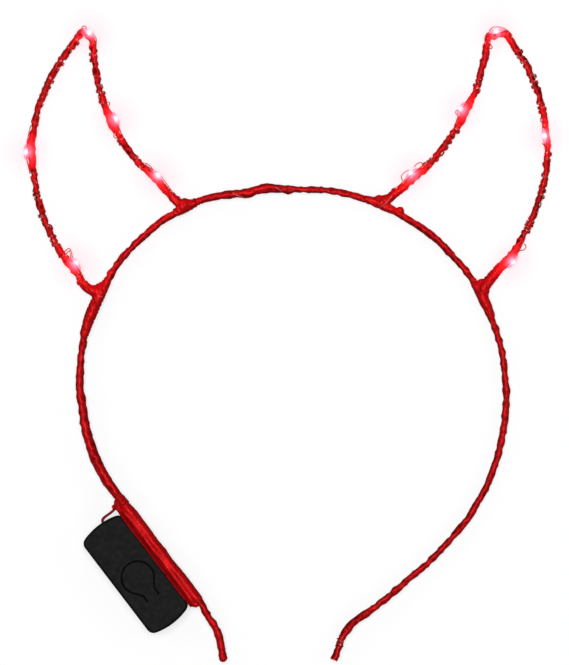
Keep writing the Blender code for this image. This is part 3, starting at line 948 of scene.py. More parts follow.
class HEADBAND_OT_horns(bpy.types.Operator):
    """Wind ribbon round the legs and tips of both horns"""

    bl_idname = "headband.horns"
    bl_label = "Horns"

    def execute(self, context):
        ribbon = context.scene.headband_ribbon
        for seed, side in ((41, "left"), (57, "right")):
            route = horn_route(side)
            sway = waver(route.along, seed, *HORN_SWAY)
            route.centres += route.side * sway[:, None]
            along = route.along[:, None]
            turn = turns_of(HORN_SIDES)
            relief_and_shade = wound(
                along, turn, ribbon.horn_pitch, ribbon.overlap * 1.4, ribbon.crease * 1.6, seed
            )
            lumps = waver(route.along, seed + 3, *HORN_LUMPS)[:, None]
            reach = route.radii[:, None] + relief_and_shade + lumps - HORN_SUNK
            for name in LIGHTS[side]:
                reach = reach + self.seat(route, name, turn)
            bm = bmesh.new()
            # Painted shade from the wound ribbon's folds
            roll(bm, route, reach, fold_shade_share(relief_and_shade, ribbon, 0.42))
            name = "horn_" + side
            add_piece(name + "_ribbon", bm, ribbon_material(), [name])
        return {"FINISHED"}

    def seat(self, route, name, turn):
        """The ribbon's rise to a light and its strands: a spindle on the light's side."""
        place = light_place(name)
        middle, towards = route.nearest(place)
        height = np.linalg.norm(place - route.read(route.centres, [middle])[0]) - SEAT_GAP
        gap = route.along - middle
        before, after = (value * MM for value in LIGHT_SPANS[name])
        share = clamp(1 - np.abs(gap) / np.where(gap < 0, before, after))
        lobe = clamp(np.cos(turn - towards)) ** 2.2
        return height * (share**1.05)[:, None] * lobe


def taper_tube(bm, points, radii, sides=20):
    """A round bar through the points, its ends domed."""
    points = spline(points)
    radii = np.interp(np.linspace(0, 1, len(points)), np.linspace(0, 1, len(radii)), radii)
    route = Route(points, radii, STATION, level=False)
    near = np.minimum(route.along, route.length - route.along)
    dome = 1 - clamp(near / route.radii.clip(1e-5))
    reach = route.radii * np.sqrt(np.clip(1 - dome**2, 0.03, 1))
    round_tube(bm, route, reach, sides)


LASHING_SIDES = 24
LASHING_STATIONS = 60
LASHING_LIFT = 0.00006
LUMP_FLATNESS = 0.84
WEB_RADII = (0.0010, 0.0010, 0.0010)

# Size of the grains in which shapes are fused, passes of smoothing, and depth of their folds
LASHING_SKIN = (0.00024, 8, 0.00009)
TUCK_SKIN = (0.00018, 3, 0.00010)

# Lashing of each joint: ends on the band in degrees, reach up the leg, radii round the leg at
# its root and end in mm, swell round the band in mm, then lumps, each at a point of the
# photograph with its radius in mm, and the folds that fill the corners, each from a place up the
# leg to an angle on the band
JOINTS = {
    "left_outer": ((145.8, 163.0), 0.070, (1.95, 1.34), 0.80, ((97.4, 292.0, 2.35),),
                   ((0.030, 149.2), (0.020, 146.8))),
    "left_inner": ((115.0, 122.4), 0.090, (1.90, 1.38), 0.60,
                   ((183.8, 205.2, 2.55), (189.6, 204.6, 1.70)),
                   ((0.060, 117.2), (0.030, 118.2), (0.026, 121.4))),
    "right_inner": ((61.0, 71.0), 0.120, (1.80, 1.45), 0.38,
                    ((382.4, 201.6, 2.05), (378.4, 199.2, 1.60), (399.8, 210.6, 1.50)),
                    ((0.060, 69.4), (0.030, 68.2), (0.024, 64.4))),
    "right_outer": ((23.0, 34.2), 0.118, (2.25, 1.62), 0.60, ((482.6, 290.4, 2.30),),
                    ((0.058, 33.4), (0.030, 31.8), (0.030, 27.0))),
}


class HEADBAND_OT_joints(bpy.types.Operator):
    """Lash each leg to the band with ribbon"""

    bl_idname = "headband.joints"
    bl_label = "Joints"

    def execute(self, context):
        for seed, (leg, shape) in enumerate(JOINTS.items()):
            (start, end), reach, (root, tip), swell, lumps, webs = shape
            bm = bmesh.new()
            # Layer for the painted shade that the fused skin gets
            value_layer(bm, "relief_and_shade")
            angles = np.linspace(start, end, LASHING_STATIONS)
            even = np.linspace(0, 1, LASHING_STATIONS)
            bell = np.sin(np.linspace(0, math.pi, LASHING_STATIONS)) ** 0.8
            radii = band_radius(angles) + LASHING_LIFT + swell * MM * bell
            band = Route(lifted(band_plan(angles)), radii, STATION)
            round_tube(bm, band, band.radii, LASHING_SIDES)
            along = np.linspace(0, reach, LASHING_STATIONS)
            radii = (root + (tip - root) * even**0.7) * MM
            stem = Route(lifted(leg_plan(leg, along)), radii, STATION)
            round_tube(bm, stem, stem.radii, LASHING_SIDES)
            for across, down, radius in lumps:
                flat = Matrix.Diagonal((1, 1, LUMP_FLATNESS, 1))
                ball = Matrix.Translation(spot(across, down)) @ flat
                bmesh.ops.create_uvsphere(
                    bm, u_segments=24, v_segments=16, radius=radius * MM, matrix=ball
                )
            for up_leg, angle in webs:
                high = lifted(leg_plan(leg, np.array([up_leg])))[0]
                foot = lifted(band_plan(np.array([angle])))[0]
                taper_tube(bm, [high, (high + foot) / 2, foot], WEB_RADII)
            fused(bm, 70 + seed, *LASHING_SKIN)
            name = "joint_" + leg
            add_piece(name + "_lashing", bm, ribbon_material(), [name])
        return {"FINISHED"}


DROP_SIZE = (0.00086, 0.00086, 0.0026)
DROP_TAPER, DROP_WAVE, HOT_HALF = 0.20, 0.05, 0.32
LAMP_RISE = 0.0085
LAMP_RADIUS = 0.003


class HEADBAND_OT_lights(bpy.types.Operator):
    """Set the resin drops of the lights on the horns"""

    bl_idname = "headband.lights"
    bl_label = "Lights"

    def execute(self, context):
        lights = context.scene.headband_lights
        for side, names in LIGHTS.items():
            route = horn_route(side)
            for name in names:
                centre = light_place(name)
                along, _ = route.nearest(centre)
                ahead = unit(route.read(route.ahead, [along]))[0]
                self.add_drop(name, centre, ahead)
                self.add_lamp(name, centre, lights)
        return {"FINISHED"}

    def add_drop(self, name, centre, ahead):
        bm = bmesh.new()
        layer = value_layer(bm, "hot")
        bmesh.ops.create_uvsphere(bm, u_segments=24, v_segments=18, radius=1.0)
        for vert in bm.verts:
            lengthwise = vert.co.z
            waist = 1 - DROP_TAPER * abs(lengthwise) ** 1.5
            waist += DROP_WAVE * math.sin(lengthwise * 5 + vert.co.x)
            vert[layer] = math.exp(-((lengthwise / HOT_HALF) ** 2))
            vert.co.x *= waist
            vert.co.y *= waist
        bmesh.ops.scale(bm, verts=bm.verts, vec=DROP_SIZE)
        turn = Vector((0, 0, 1)).rotation_difference(Vector(ahead)).to_matrix().to_4x4()
        bmesh.ops.transform(bm, verts=bm.verts, matrix=Matrix.Translation(Vector(centre)) @ turn)
        add_piece("light_" + name, bm, light_material(), ["led_" + name])

    def add_lamp(self, name, centre, lights):
        lamp = bpy.data.lights.new("glow_" + name, "POINT")
        lamp.color = lights.glow
        lamp.energy = lights.power
        lamp.shadow_soft_size = LAMP_RADIUS
        item = linked("glow_" + name, lamp)
        item.location = Vector(centre) + Vector((0, 0, LAMP_RISE))


# How the strands run: how far they sink into the ribbon, rise where they bunch, and rise at the
# ends of each straight run; how much thicker a bunch is; the gap between the two in thicknesses;
# and how far the horn's sides draw the turns together
SINK = 0.00014
BUNCH_RISE = 0.00033
BUNCH_SWELL = 0.95
END_RISE, END_REACH = 0.00020, 0.0007
DROP_HALF = 0.00110
STRAND_APART = 0.56
SIDE_PULL = 0.30
STRAND_SHIFT = 1.3


def strand_plan(route, side, pitch):
    """Along, turn and lift of the strands: wound, but running straight past each light."""
    knots = [(0.0, 0.0)]
    straights = []
    for name in LIGHTS[side]:
        along, turn = route.nearest(light_place(name))
        before, after = (value * MM for value in LIGHT_SPANS[name])
        last_along, last_turn = knots[-1]
        wraps = round((along - before - last_along) / pitch)
        turn += 2 * math.pi * (wraps + round((last_turn - turn) / (2 * math.pi)))
        knots += [(along - before, turn), (along + after, turn + 0.12)]
        straights.append((along, before, after, light_place(name)))
    left = route.length - knots[-1][0]
    knots.append((route.length, knots[-1][1] + left / pitch * 2 * math.pi))
    knots = np.array(knots)
    along = np.arange(0.0, route.length, 0.00005)
    turn = np.interp(along, knots[:, 0], knots[:, 1])
    lift = np.zeros(len(along))
    wound_share = np.ones(len(along))
    for middle, before, after, place in straights:
        gap = along - middle
        share = 1 - np.abs(gap) / np.where(gap < 0, before, after)
        centre = route.read(route.centres, [middle])[0]
        height = np.linalg.norm(place - centre) - DROP_HALF
        lift = np.maximum(lift, clamp(share) * height)
        wound_share = np.minimum(wound_share, clamp(-share / 0.12))
        for end in (middle - before - END_REACH, middle + after + END_REACH):
            lift = lift + END_RISE * np.exp(-(((along - end) / END_REACH) ** 2))
    return along, turn, lift, wound_share


def bunches(turn, seed, share):
    """How far the strands are bunched at each side of the horn that they pass, from 0 to 1."""
    rng = np.random.default_rng(seed)
    sizes = clamp(rng.uniform(-1.0, 1.0, 400)) ** 0.8
    side = np.rint(turn / math.pi)
    return sizes[(side - side.min()).astype(int)] * np.cos(turn) ** 4 * share


class HEADBAND_OT_strands(bpy.types.Operator):
    """Wind the twin strands of wire that feed the lights round the horns"""

    bl_idname = "headband.strands"
    bl_label = "Strands"

    def execute(self, context):
        lights = context.scene.headband_lights
        thick = lights.strand
        for seed, side in ((83, "left"), (97, "right")):
            route = horn_route(side)
            along, turn, lift, wound_share = strand_plan(route, side, lights.pitch)
            bm = bmesh.new()
            for sign in (-1, 1):
                loose = waver(along, seed + sign, *STRAND_LOOSE) * wound_share
                slack = waver(along, seed + 5, *STRAND_SLACK) * wound_share
                apart = sign * thick * STRAND_APART
                reach = np.interp(along, route.along, route.radii) + thick * 0.5
                wraps = turn + slack
                bunch = bunches(wraps, seed + 20, wound_share)
                reach = reach + lift + np.abs(loose) + BUNCH_RISE * bunch - SINK * wound_share
                wraps = wraps - SIDE_PULL * np.sin(2 * wraps) * wound_share
                spread = apart / reach * (1.0 - wound_share) * (1.3 + 2200 * lift)
                ahead = apart * STRAND_SHIFT * wound_share
                shifted = np.clip(along + ahead, 0, route.length)
                points = route.place(shifted, wraps + spread, reach)
                points[:, 2] = np.maximum(points[:, 2], thick * 0.5)
                strand(bm, points, thick / 2 * (1 + BUNCH_SWELL * bunch), step=STATION)
            for loop in WIRE_LOOPS[side]:
                self.add_loop(bm, loop, thick)
            name = "horn_" + side + "_strands"
            add_piece(name, bm, enamel_material())
        return {"FINISHED"}

    def add_loop(self, bm, loop, thick):
        strand(bm, spline(spots(loop)), thick / 2, step=0.00022, round_off=2)


# Slack loops of the strands beside the lights: points of the photograph and mm above the wires
WIRE_LOOPS = {
    "left": (
        ((62.5, 252.5, 0.9), (65.5, 250.6, 1.3), (68.9, 248.0, 1.5),
         (70.6, 250.4, 1.5), (72.2, 257.5, 1.2)),
        ((63.6, 255.2, 0.9), (66.6, 253.0, 1.3), (69.2, 250.2, 1.6),
         (70.0, 253.4, 1.5), (70.6, 259.5, 1.2)),
        ((76.6, 270.5, 1.0), (79.6, 273.6, 1.5), (81.6, 275.6, 1.6),
         (81.2, 278.2, 1.3), (78.4, 279.4, 1.0)),
        ((77.2, 277.6, 1.2), (79.6, 275.6, 1.7), (81.2, 277.4, 1.5), (80.2, 280.6, 0.9)),
        ((117.6, 131.6, 1.0), (114.6, 133.4, 1.5), (113.2, 136.0, 1.6),
         (115.0, 138.2, 1.4), (118.6, 137.4, 1.0)),
        ((142.2, 162.6, 1.0), (146.8, 163.8, 1.6), (150.4, 166.6, 1.8), (153.4, 170.6, 1.6)),
        ((104.0, 106.6, 1.0), (106.8, 101.8, 1.5), (109.6, 102.6, 1.6), (108.2, 106.2, 1.4)),
        ((81.2, 29.4, 1.0), (82.8, 25.8, 1.4), (85.6, 26.6, 1.6), (86.4, 30.2, 1.4)),
    ),
    "right": (
        ((488.6, 31.0, 0.9), (492.0, 27.4, 1.4), (499.0, 26.8, 1.6),
         (506.4, 29.6, 1.4), (512.0, 36.2, 0.9)),
        ((503.0, 29.8, 1.1), (508.6, 31.6, 1.6), (511.8, 35.8, 1.7), (511.2, 39.4, 1.1)),
        ((487.2, 39.4, 1.0), (489.8, 43.6, 1.6), (491.8, 47.8, 1.7),
         (490.0, 49.0, 1.6), (488.0, 45.2, 1.2)),
        ((457.4, 115.6, 1.0), (455.0, 112.4, 1.5), (456.6, 109.6, 1.6), (459.6, 111.4, 1.2)),
        ((402.4, 181.0, 1.0), (400.8, 176.4, 1.5), (404.0, 172.2, 1.8), (408.6, 169.8, 1.5)),
        ((413.6, 167.0, 1.1), (417.4, 163.0, 1.6), (421.6, 162.6, 1.6), (421.8, 166.2, 1.0)),
        ((519.6, 250.4, 1.0), (523.6, 249.6, 1.6), (525.8, 246.4, 1.6), (523.4, 243.4, 1.0)),
        ((541.6, 142.8, 1.0), (545.8, 146.4, 1.6), (549.6, 143.8, 1.6), (550.0, 139.4, 1.0)),
    ),
}


# The battery pack

def arc(middle, radius, start, end, count):
    turns = np.radians(np.linspace(start, end, count))
    return [(middle[0] + radius * math.cos(t), middle[1] + radius * math.sin(t)) for t in turns]


def case_outline(inset):
    """The case seen from the front: straight sides, bowed ends and rounded corners."""
    half = PACK_WIDTH / 2
    bow_radius = (half**2 + PACK_CROWN**2) / (2 * PACK_CROWN)
    bow_x = PACK_LENGTH / 2 - bow_radius
    corner_y = half - PACK_CORNER
    corner_x = bow_x + math.sqrt((bow_radius - PACK_CORNER) ** 2 - corner_y**2)
    meet = math.degrees(math.atan2(corner_y, corner_x - bow_x))
    end = arc((bow_x, 0), bow_radius - inset, -meet, meet, 25)
    corner = arc((corner_x, corner_y), PACK_CORNER - inset, meet, 90, 14)[1:]
    right = [(x, -y) for x, y in reversed(corner)] + end + corner
    outline = right + [(-x, -y) for x, y in right]
    return np.array(outline)


def loft(bm, rings):
    """Skin a row of closed rings of places and close both ends."""
    made = []
    for ring in rings:
        verts = [bm.verts.new(place) for place in ring]
        made.append([bm.edges.new((verts[i - 1], verts[i])) for i in range(len(verts))])
    for near, far in zip(made, made[1:]):
        bmesh.ops.bridge_loops(bm, edges=near + far)
    caps = []
    for edges in (made[0], made[-1]):
        caps += bmesh.ops.contextual_create(bm, geom=edges)["faces"]
    bmesh.ops.inset_individual(bm, faces=caps, thickness=0.00025, use_even_offset=True)
    bmesh.ops.recalc_face_normals(bm, faces=bm.faces)


def pack_rings(outlines, heights):
    return [pack_place(at_height(line, z)) for line, z in zip(outlines, heights)]


def cut_out(bm, cutter):
    """Take one closed shape out of another."""
    blank = linked("blank", mesh_of("blank", bm))
    tool = linked("cutter", mesh_of("cutter", cutter))
    modifier = blank.modifiers.new("cut", "BOOLEAN")
    modifier.operation = "DIFFERENCE"
    modifier.object = tool
    cutter.free()
    take_back(bm, blank, tool)


def button_outline(grow, extra=0.0):
    """Round tongue and neck of the button, in the pack's frame."""
    half = BUTTON_NECK_WIDTH / 2 + grow
    radius = BUTTON_RADIUS + grow
    mouth = math.degrees(math.asin((half + BUTTON_NECK_WIDTH * 0.35) / radius))
    tongue = arc((0, 0), radius, mouth, 360 - mouth, 61)
    end = BUTTON_NECK_END + grow + extra
    neck = [(BUTTON_NECK_START, -half), (end, -half), (end, half), (BUTTON_NECK_START, half)]
    return np.array(tongue + neck) + np.array((BUTTON_OFFSET, 0.0))


SEAM_HALF = 0.00022
HOLE_RADIUS = 0.00072


class HEADBAND_OT_pack(bpy.types.Operator):
    """Mould the battery case and its push button"""

    bl_idname = "headband.pack"
    bl_label = "Battery pack"

    def execute(self, context):
        pack = context.scene.headband_pack
        add_piece("case_shell", self.case(pack), plastic_material(),
                  ["battery_case"], crease_deg=38)
        add_piece("button_tongue", self.button(pack), plastic_material(),
                  ["push_button"], body="button", crease_deg=38)
        return {"FINISHED"}

    def case(self, pack):
        levels = []
        for turn in np.radians(np.linspace(0, 90, 7)):
            levels.append((pack.edge * (1 - math.cos(turn)), pack.edge * (1 - math.sin(turn))))
        middle = PACK_DEPTH / 2
        for share, depth in ((-3, 0), (-1, 0), (-0.4, 1), (0.4, 1), (1, 0), (3, 0)):
            levels.append((middle + SEAM_HALF * share, pack.seam * depth))
        levels += [(PACK_DEPTH - z, inset) for z, inset in levels[6::-1]]
        bm = bmesh.new()
        loft(bm, pack_rings([case_outline(inset) for _, inset in levels], [z for z, _ in levels]))
        pocket = bmesh.new()
        outline = button_outline(pack.slot)
        floor = PACK_DEPTH - BUTTON_POCKET * 2.4
        loft(pocket, pack_rings([outline, outline], [floor, PACK_DEPTH + 0.001]))
        cut_out(bm, pocket)
        hole = bmesh.new()
        route = lead_route(0.0)
        line = Route(route[-3:], np.full(3, HOLE_RADIUS), 0.0006, level=False)
        round_tube(hole, line, line.radii, 20)
        cut_out(bm, hole)
        return bm

    def button(self, pack):
        bm = bmesh.new()
        outline = button_outline(0.0, pack.slot + 0.00002)
        middle = outline.mean(axis=0)
        face = middle + (outline - middle) * 0.984
        at_end = outline[:, 0] > outline[:, 0].max() - 0.0001
        face[at_end, 0] = outline[at_end, 0]
        rings = [outline, outline, face]
        heights = [PACK_DEPTH - BUTTON_THICKNESS, PACK_DEPTH - 0.00010, PACK_DEPTH]
        loft(bm, pack_rings(rings, heights))
        return bm


# The lead: its gap to the case's end, its start below the wire's line, where it enters the case,
# and its two strands' radius and distance from its middle
LEAD_GAP = 0.00090
LEAD_START = 0.0028
LEAD_Y = 0.0017
LEAD_RADIUS, LEAD_HALF_GAP = 0.00026, 0.00019


def lead_route(across):
    """One strand of the lead, from the ribbon's knot into the case's end wall."""
    end_x = -PACK_LENGTH / 2
    run_x = end_x - LEAD_GAP
    start_y = WIRE_Y - LEAD_START
    places = np.array((
        (run_x - 0.0004 + across, start_y),
        (run_x + across, start_y * 0.75 + LEAD_Y * 0.25),
        (run_x + across, start_y * 0.35 + LEAD_Y * 0.65),
        (run_x + 0.0001 + across, LEAD_Y + 0.0006 + across),
        (run_x + 0.0005, LEAD_Y + 0.0001 + across),
        (end_x, LEAD_Y + across),
        (end_x + 0.0015, LEAD_Y + across),
    ))
    return pack_place(at_height(places, PACK_DEPTH / 2))


# The ribbon that holds the pack: along the pack / its length, then the height of the part on
# the case's side and the swell of the part round the band
WRAP_SECTIONS = np.array((
    (-0.500, 0.42, 0.86), (-0.470, 0.80, 0.98), (-0.430, 0.97, 1.02), (-0.300, 1.00, 0.97),
    (-0.100, 1.00, 1.03), (0.100, 1.00, 0.96), (0.300, 1.00, 1.04), (0.400, 0.96, 1.00),
    (0.450, 0.80, 0.98), (0.485, 0.45, 0.90),
))

# Half of its section: towards the hoop from the pack's middle, and up, in mm
WRAP_PROFILE = (
    (7.98, 9.06), (8.22, 8.90), (8.46, 8.56), (8.62, 8.00), (8.80, 7.30), (9.20, 6.70),
    (9.85, 6.42), (10.55, 6.58), (11.20, 6.74), (11.90, 6.66), (12.62, 6.22), (13.12, 5.50),
    (13.32, 4.62),
)
WRAP_INSIDE = ((8.16, 0.60), (8.20, 2.60), (8.20, 6.60), (8.12, 8.50), (7.96, 8.84))
WRAP_SIDES, WRAP_STATIONS = 72, 170

# Where its section stops following the case's side and follows the band, the hollow between
# them where painted shade lies, then the lengths and heights of its broad and fine folds
TO_BAND_Y, TO_BAND_BLEND = 0.0088, 0.0020
HOLLOW_Y, HOLLOW_HALF = 0.0092, 0.0006
BROAD_FOLDS, FINE_FOLDS = (0.010, 0.034), (0.003, 0.009)
BROAD_RISE, FINE_RISE = 0.00008, 0.00002

# The hem on the case's edge: its ends as shares of the pack's length, then its place and radius
HEM_ENDS = (-0.475, 0.44)
HEM_Y, HEM_Z, HEM_RADIUS = 0.00800, 0.00906, 0.00013

# The knot: its ends, middle and half width in degrees on the band, its radius and bulge, and the
# pitch and height of its ribs
KNOT_ENDS = (205.4, 214.5)
KNOT_MIDDLE, KNOT_HALF = 210.2, 2.0
KNOT_RADIUS, KNOT_BULGE = 0.00148, 0.00040
RIB_PITCH, RIB_RISE = 0.00078, 0.00008

# Tucks of the ribbon above and below the pack: places of the photograph with the rise in mm,
# then the radii in mm along them
TUCKS = (
    (((121.0, 503.0, 0.2), (116.5, 505.6, 0.3), (111.6, 509.2, 0.1)), (1.3, 1.3, 1.1, 0.8)),
    (((116.0, 499.0, 0.0), (118.5, 507.5, 0.9), (127.0, 513.0, 0.6)), (1.0, 1.2, 1.0)),
    (((186.0, 594.0, 0.3), (190.6, 600.4, 0.3), (196.4, 606.6, 0.0)), (1.1, 1.5, 1.2, 0.8)),
    (((188.4, 604.6, 0.0), (193.4, 603.0, 0.2), (199.6, 604.4, 0.0)), (0.6, 1.3, 1.2)),
)


class HEADBAND_OT_pack_ribbon(bpy.types.Operator):
    """Fold the ribbon that ties the pack to the band, with its knot and the lead"""

    bl_idname = "headband.pack_ribbon"
    bl_label = "Pack ribbon"

    def execute(self, context):
        bm = self.wrap()
        self.knot(bm)
        self.lip(bm)
        add_piece("pack_ribbon", bm, ribbon_material(), ["pack_wrap"])
        bm = bmesh.new()
        for across in (-LEAD_HALF_GAP, LEAD_HALF_GAP):
            strand(bm, spline(lead_route(across)), LEAD_RADIUS, sides=12, round_off=8)
        add_piece("lead_strands", bm, cover_material(), ["lead_wire"])
        return {"FINISHED"}

    def wrap(self):
        upper = np.array(WRAP_PROFILE) * MM
        middle = PACK_DEPTH / 2
        lower = upper[::-1][1:] * (1, -1) + (0, 2 * middle)
        inner = np.array(WRAP_INSIDE) * MM
        loop = np.vstack((upper, lower[:-1] + (0, 0.0004), inner))
        closed = np.vstack((loop, loop[:1]))
        keys = distances(closed)
        at = np.linspace(0, keys[-1], WRAP_SIDES, endpoint=False)
        profile = np.column_stack([np.interp(at, keys, axis) for axis in closed.T])
        along = np.linspace(WRAP_SECTIONS[0, 0], WRAP_SECTIONS[-1, 0], WRAP_STATIONS)
        height = through(WRAP_SECTIONS, 1, along)
        swell = through(WRAP_SECTIONS, 2, along)
        angles = np.linspace(PACK_FROM_DEG - 8, PACK_TO_DEG + 8, 300)
        band = band_plan(angles) - PACK_FROM_HOOP
        bend = np.interp(along * PACK_LENGTH, band @ PACK_X, band @ PACK_Y) - WIRE_Y
        near_band = clamp((profile[:, 0] - TO_BAND_Y) / TO_BAND_BLEND)
        x = np.repeat(along[:, None] * PACK_LENGTH, WRAP_SIDES, axis=1)
        y = profile[None, :, 0] + bend[:, None] * near_band[None, :]
        z = np.repeat(profile[None, :, 1], len(along), axis=0)
        turn = turns_of(WRAP_SIDES)
        fold = folds(x, turn, 11, *BROAD_FOLDS)
        fine = folds(x, turn * 3, 12, *FINE_FOLDS)
        push = (BROAD_RISE * fold + FINE_RISE * fine) * near_band[None, :]
        away_y, away_z = y - WIRE_Y - bend[:, None], z - middle
        size = np.hypot(away_y, away_z).clip(1e-5)
        grow = 1 + ((swell[:, None] - 1) * size + push) / size * near_band[None, :]
        y = WIRE_Y + bend[:, None] + away_y * grow
        flat = 1 - near_band[None, :]
        z = middle + away_z * grow * (1 - flat + flat * height[:, None])
        # Painted shade: darker in the hollow between the case's side and the band, and in the folds
        hollow = np.exp(-(((profile[:, 0] - HOLLOW_Y) / HOLLOW_HALF) ** 2))[None, :]
        relief_and_shade = clamp(0.84 + 0.12 * fold + 0.06 * fine - 0.55 * hollow)
        places = pack_place(np.column_stack((x.ravel(), y.ravel(), z.ravel())))
        bm = bmesh.new()
        places = places.reshape(WRAP_STATIONS, WRAP_SIDES, 3)
        wrap_grid(bm, places, along * PACK_LENGTH, relief_and_shade)
        return bm

    def lip(self, bm):
        """Hem of the ribbon along the case's edge."""
        along = np.linspace(*HEM_ENDS, 260) * PACK_LENGTH
        edge_y = HEM_Y + waver(along, 51, *HEM_WAVER)
        height = np.interp(along / PACK_LENGTH, WRAP_SECTIONS[:, 0], WRAP_SECTIONS[:, 1])
        edge_z = PACK_DEPTH / 2 + (HEM_Z - PACK_DEPTH / 2) * height
        strand(bm, pack_place(np.column_stack((along, edge_y, edge_z))), HEM_RADIUS)

    def knot(self, bm):
        """Bunched turns above the pack, and the ribbon's ends tucked in above and below it."""
        angles = np.linspace(*KNOT_ENDS, 120)
        bell = np.exp(-(((angles - KNOT_MIDDLE) / KNOT_HALF) ** 2))
        radii = KNOT_RADIUS + KNOT_BULGE * bell
        route = Route(lifted(band_plan(angles)), radii, 0.00012)
        turn = turns_of(40)
        ribs = np.sin(route.along[:, None] * 2 * math.pi / RIB_PITCH + turn)
        fold = folds(route.along[:, None], turn, 15, 0.002, 0.006)
        # Painted shade: darker between the ribs and in the folds
        roll(bm, route, route.radii[:, None] + RIB_RISE * ribs + 0.00010 * fold,
             clamp(0.74 + 0.20 * ribs + 0.10 * fold))
        lumps = bmesh.new()
        value_layer(lumps, "relief_and_shade")
        for points, radii in TUCKS:
            taper_tube(lumps, spots(points), np.array(radii) * MM)
        fused(lumps, 17, *TUCK_SKIN)
        joined = mesh_of("lumps", lumps)
        lumps.free()
        bm.from_mesh(joined)
        bpy.data.meshes.remove(joined)


PALE_RADIUS = 0.00009
FRAY_COUNT, FRAY_RADIUS = 11, 0.00007

# The binding: its middle in the photograph, its reach before and after that, the advance of each
# turn, and the thread's radius
BINDING_PIXEL = (340.6, 641.6)
BINDING_BEFORE, BINDING_AFTER = 0.0024, 0.0022
BINDING_PITCH, BINDING_RADIUS = 0.00118, 0.00021


class HEADBAND_OT_threads(bpy.types.Operator):
    """Add pale threads at the joints and on the band, and the thread bound round the band's right
    end
    """

    bl_idname = "headband.threads"
    bl_label = "Threads"

    def execute(self, context):
        bm = bmesh.new()
        route = band_route()
        for points in PALE_THREADS:
            strand(bm, spline(spots(points)), PALE_RADIUS, round_off=2)
        add_piece("pale_edges", bm, thread_material())
        bm = bmesh.new()
        self.binding(bm, route)
        self.fray(bm, route)
        add_piece("end_binding", bm, enamel_material())
        return {"FINISHED"}

    def binding(self, bm, route):
        """Turns of thread round the band above its right end."""
        middle, _ = route.nearest(spot(*BINDING_PIXEL))
        along = np.linspace(middle - BINDING_BEFORE, middle + BINDING_AFTER, 500)
        turn = (along - along[0]) / BINDING_PITCH * 2 * math.pi
        reach = np.interp(along, route.along, route.radii) * 0.88 + 0.00004
        reach = reach + waver(along, 61, *BINDING_WAVER)
        strand(bm, route.place(along, turn, reach), BINDING_RADIUS)

    def fray(self, bm, route):
        """Cut threads standing out of the ribbon at the right end."""
        rng = np.random.default_rng(9)
        for turn in turns_of(FRAY_COUNT)[0]:
            turn += rng.uniform(-0.2, 0.2)
            reach = np.array((0.00095, 0.00108, 0.00115)) + rng.uniform(-0.0002, 0.0)
            points = route.place(np.array((0.0009, 0.0003, 0.0)), np.full(3, turn), reach)
            tip = points[-1] - route.ahead[0] * rng.uniform(0.0001, 0.0003)
            strand(bm, spline(np.vstack((points, tip))), FRAY_RADIUS, round_off=1)


# Pale threads at the joints: points of the photograph and mm above the wires' middle
PALE_THREADS = (
    ((97.6, 295.4, 1.9), (99.8, 296.4, 2.0), (102.2, 296.2, 2.0)),
    ((379.6, 207.0, 1.7), (385.4, 203.0, 2.1), (391.8, 195.6, 1.6)),
    ((171.6, 195.0, 1.5), (173.0, 197.4, 1.8), (173.8, 200.2, 1.7)),
    ((232.4, 192.4, 1.35), (235.0, 194.4, 1.3), (238.6, 195.9, 1.1),
     (243.0, 197.3, 0.7), (247.4, 197.9, 0.4)),
    ((264.6, 184.0, 0.9), (270.0, 184.7, 1.2), (274.6, 186.6, 1.45),
     (278.0, 189.0, 1.5), (281.4, 191.4, 1.4)),
)


TABLE_HALF = 3.0
KEY_PLACE, KEY_SIZE = (-0.20, 0.25, 3.6), 1.75
RIM_SIZE = 0.22
RIM_PLACES = {
    "left": (-0.42, 0.02, 0.26),
    "right": (0.42, 0.02, 0.26),
    "top": (0.0, 0.46, 0.26),
    "foot": (0.0, -0.46, 0.26),
}

# The camera looks straight down on this point of the photograph, at this height
VIEW_PIXEL = (284.1, 332.3)
VIEW_LEVEL = 0.003
PHOTO_HEIGHT = 665


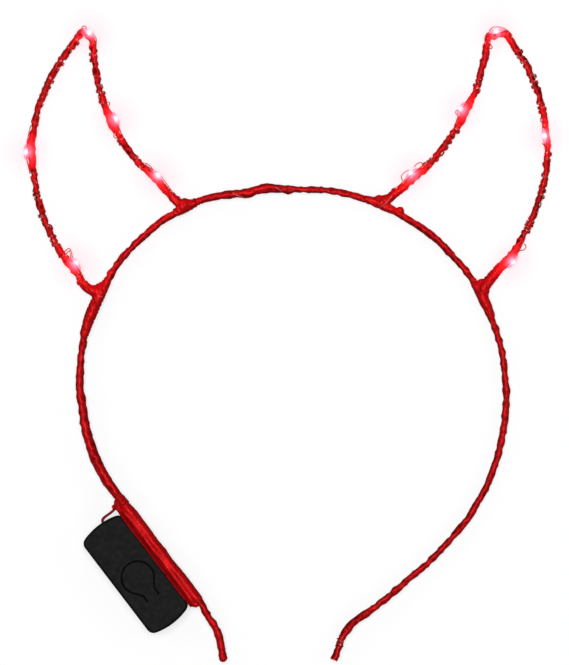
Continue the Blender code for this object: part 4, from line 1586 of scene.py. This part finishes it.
class HEADBAND_OT_stage(bpy.types.Operator):
    """Set the table, the lamps and the camera"""

    bl_idname = "headband.stage"
    bl_label = "Stage"

    def execute(self, context):
        stage = context.scene.headband_stage
        bm = bmesh.new()
        bmesh.ops.create_grid(bm, x_segments=8, y_segments=8, size=TABLE_HALF)
        bmesh.ops.translate(bm, verts=bm.verts, vec=(0, 0, -0.00003))
        mesh = mesh_of("table_top", bm)
        bm.free()
        mesh.materials.append(table_material())
        table = linked("table_top", mesh)
        table.visible_diffuse = False
        table.visible_glossy = False
        self.add_area("key", KEY_PLACE, KEY_SIZE, stage.key)
        for name, place in RIM_PLACES.items():
            self.add_area(name, place, RIM_SIZE, stage.rim)
        world = bpy.data.worlds.new("studio")
        world.use_nodes = True
        sky = world.node_tree.nodes["Background"]
        sky.inputs["Color"].default_value = (1.0, 1.0, 1.0, 1.0)
        sky.inputs["Strength"].default_value = stage.sky
        context.scene.world = world
        context.scene.view_settings.view_transform = "Standard"
        self.add_camera(context, stage)
        return {"FINISHED"}

    def add_area(self, name, place, size, power):
        lamp = bpy.data.lights.new("lamp_" + name, "AREA")
        lamp.size = size
        lamp.energy = power
        item = linked("lamp_" + name, lamp)
        item.location = place
        item.rotation_euler = (-Vector(place)).to_track_quat("-Z", "Y").to_euler()

    def add_camera(self, context, stage):
        camera = bpy.data.cameras.new("camera")
        camera.lens = stage.lens
        camera.sensor_width = 36.0
        camera.clip_end = 20.0
        item = linked("camera", camera)
        across = (VIEW_PIXEL[0] - ORIGIN_PIXEL[0]) * PIXEL
        upward = (ORIGIN_PIXEL[1] - VIEW_PIXEL[1]) * PIXEL
        distance = PHOTO_HEIGHT * PIXEL * stage.lens / camera.sensor_width
        item.location = (across, upward, VIEW_LEVEL + distance)
        context.scene.camera = item


class HEADBAND_PT_panel(bpy.types.Panel):
    """The headband's pieces and their sizes"""

    bl_label = "Devil Horns Headband"
    bl_idname = "HEADBAND_PT_panel"
    bl_space_type = "VIEW_3D"
    bl_region_type = "UI"
    bl_category = "Headband"

    def draw(self, context):
        for operator in OPERATORS:
            self.layout.operator(operator.bl_idname)
        for name, group in SETTINGS:
            box = self.layout.box()
            for key in group.__annotations__:
                box.prop(getattr(context.scene, name), key)


SETTINGS = (
    ("headband_ribbon", RibbonSettings),
    ("headband_lights", LightSettings),
    ("headband_pack", PackSettings),
    ("headband_stage", StageSettings),
)
OPERATORS = (
    HEADBAND_OT_stage,
    HEADBAND_OT_band,
    HEADBAND_OT_horns,
    HEADBAND_OT_joints,
    HEADBAND_OT_lights,
    HEADBAND_OT_strands,
    HEADBAND_OT_pack,
    HEADBAND_OT_pack_ribbon,
    HEADBAND_OT_threads,
)


def register():
    for name, group in SETTINGS:
        bpy.utils.register_class(group)
        setattr(bpy.types.Scene, name, PointerProperty(type=group))
    for operator in OPERATORS:
        bpy.utils.register_class(operator)
    bpy.utils.register_class(HEADBAND_PT_panel)


def unregister():
    bpy.utils.unregister_class(HEADBAND_PT_panel)
    for operator in reversed(OPERATORS):
        bpy.utils.unregister_class(operator)
    for name, group in reversed(SETTINGS):
        delattr(bpy.types.Scene, name)
        bpy.utils.unregister_class(group)


def main():
    register()
    bpy.ops.headband.stage()
    bpy.ops.headband.band()
    bpy.ops.headband.horns()
    bpy.ops.headband.joints()
    bpy.ops.headband.lights()
    bpy.ops.headband.strands()
    bpy.ops.headband.pack()
    bpy.ops.headband.pack_ribbon()
    bpy.ops.headband.threads()


if __name__ == "__main__":
    main()
